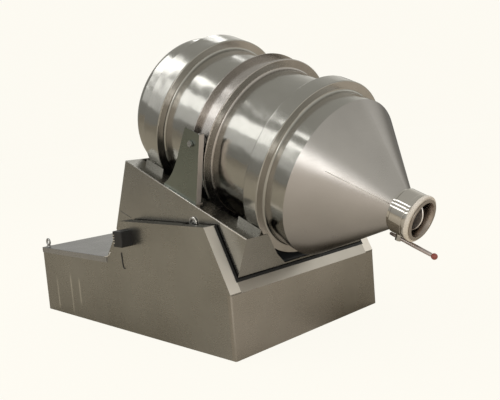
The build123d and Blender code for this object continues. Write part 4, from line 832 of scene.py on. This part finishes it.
def add_world():
    """Cream studio. The metal sees it darker towards the wall at one side, in a corner, and overhead."""
    world = bpy.data.worlds.new("studio")
    world.use_nodes = True
    bpy.context.scene.world = world
    world.node_tree.nodes.clear()
    graph = Graph(world.node_tree)
    way = graph.coordinates("Generated")
    wall = graph.spread(graph.facing(way, WALL_WAY), WALL_LIGHT, WALL_DARK, *WALL_SPAN, curve="SMOOTHSTEP")
    overhead = graph.spread(graph.axes(way)["Z"], 1.0, OVERHEAD_DARK, *OVERHEAD_SPAN, curve="SMOOTHSTEP")
    corner = graph.spread(graph.facing(way, CORNER_WAY), 1.0, CORNER_DARK, *CORNER_SPAN, curve="SMOOTHSTEP")
    level = graph.maths("MULTIPLY", graph.maths("MULTIPLY", wall, overhead), corner)
    paths = graph.node("ShaderNodeLightPath").outputs
    level = graph.maths("MAXIMUM", level, paths["Is Camera Ray"])
    shown = graph.maths("MAXIMUM", paths["Is Camera Ray"], paths["Is Glossy Ray"])
    shown = graph.maths("MAXIMUM", shown, paths["Is Transmission Ray"])
    seen = graph.node("ShaderNodeBackground")
    seen.inputs["Color"].default_value = STUDIO_TONE
    graph.link(level, seen.inputs["Strength"])
    soft = graph.node("ShaderNodeBackground")
    soft.inputs["Color"].default_value = SOFT_TONE
    soft.inputs["Strength"].default_value = SOFT_STRENGTH
    chosen = graph.node("ShaderNodeMixShader")
    graph.link(shown, chosen.inputs["Fac"])
    graph.link(soft.outputs[0], chosen.inputs[1])
    graph.link(seen.outputs[0], chosen.inputs[2])
    output = graph.node("ShaderNodeOutputWorld")
    graph.link(chosen.outputs[0], output.inputs["Surface"])


# Floor: the paper's two tones, and its own glow as the camera and as the metal see it
FLOOR_HALF = 60.0
PAPER_DARK, PAPER_LIGHT = (0.60, 0.54, 0.44), (0.64, 0.58, 0.47)
FIBRE_SCALE = 30.0
PAPER_ROUGHNESS = 0.9
GLOW_SEEN, GLOW_REFLECTED = (1.0, 0.979, 0.908), (1.0, 0.91, 0.80)
GLOW_STRENGTH = 1.035
GLOW_SHARE_SEEN = 0.92
# The reflected glow grows towards one side of this place, and with the distance from it
GLOW_CENTRE, GLOW_TURN = (0.9, 0.0, 0.0), math.radians(-30.0)
GLOW_SIDE_SHARE, GLOW_SIDE_SPAN = 0.86, (-0.1, 0.9)
GLOW_NEAR_SHARE, GLOW_DISTANCE_SPAN = 0.40, (0.9, 2.6)
# Inside the cabinet's outline, less this inset, the floor doesn't glow
FOOT_INSET = 0.004


def glow_share(graph, paths):
    """How much of the floor's tone is its own, by what looks at it and where."""
    turned = graph.turned(GLOW_CENTRE, (0.0, 0.0, GLOW_TURN))
    side = graph.axes(graph.measure("NORMALIZE", turned)["Vector"])["X"]
    lit = graph.spread(side, 0.0, GLOW_SIDE_SHARE, *GLOW_SIDE_SPAN)
    distance = graph.measure("LENGTH", turned)["Value"]
    lit = graph.maths("MULTIPLY", lit, graph.spread(distance, GLOW_NEAR_SHARE, 1.0, *GLOW_DISTANCE_SPAN))
    share = graph.maths(
        "ADD",
        graph.maths("MULTIPLY", paths["Is Camera Ray"], GLOW_SHARE_SEEN),
        graph.maths("MULTIPLY", paths["Is Glossy Ray"], lit),
    )
    here = graph.axes(graph.coordinates())
    _, side_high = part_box("cabinet_side_left")
    past = []
    for axis, limit in (("X", side_high[0]), ("Y", side_high[1])):
        off_middle = graph.maths("ABSOLUTE", here[axis])
        past.append(graph.maths("GREATER_THAN", off_middle, limit - FOOT_INSET))
    return graph.maths("MULTIPLY", share, graph.maths("MAXIMUM", *past))


def add_floor():
    """Wide pale floor; part of its tone is its own, so it meets the background without a line."""
    corners = [(x * FLOOR_HALF, y * FLOOR_HALF, 0.0) for x, y in ((-1, -1), (1, -1), (1, 1), (-1, 1))]
    mesh = bpy.data.meshes.new("floor")
    mesh.from_pydata(corners, [], [(0, 1, 2, 3)])
    floor = bpy.data.objects.new("floor", mesh)
    bpy.context.scene.collection.objects.link(floor)
    graph = Finish("floor_paper")
    fibres = graph.noise(graph.place(), FIBRE_SCALE)
    paper = graph.mix(graph.spread(fibres, 0.0, 1.0), PAPER_DARK, PAPER_LIGHT)
    graph.link(paper, graph.shader.inputs["Base Color"])
    graph.shader.inputs["Roughness"].default_value = PAPER_ROUGHNESS
    graph.shader.inputs["Specular IOR Level"].default_value = 0.0
    paths = graph.node("ShaderNodeLightPath").outputs
    glow = graph.node("ShaderNodeEmission")
    graph.link(graph.mix(paths["Is Glossy Ray"], GLOW_SEEN, GLOW_REFLECTED), glow.inputs["Color"])
    glow.inputs["Strength"].default_value = GLOW_STRENGTH
    blend = graph.node("ShaderNodeMixShader")
    graph.link(glow_share(graph, paths), blend.inputs["Fac"])
    graph.link(graph.shader.outputs[0], blend.inputs[1])
    graph.link(glow.outputs[0], blend.inputs[2])
    graph.link(blend.outputs[0], graph.tree.nodes["Material Output"].inputs["Surface"])
    mesh.materials.append(graph.material)


add_camera()
dress_nodes()
add_rail_edges()
add_cone_seam()
add_side_hook()
add_socket_contacts()
add_outlet()
add_lever_bar()
add_pivot_rims()
add_side_marks()
add_lamps()
add_world()
add_floor()

bpy.context.scene.view_settings.view_transform = "Standard"
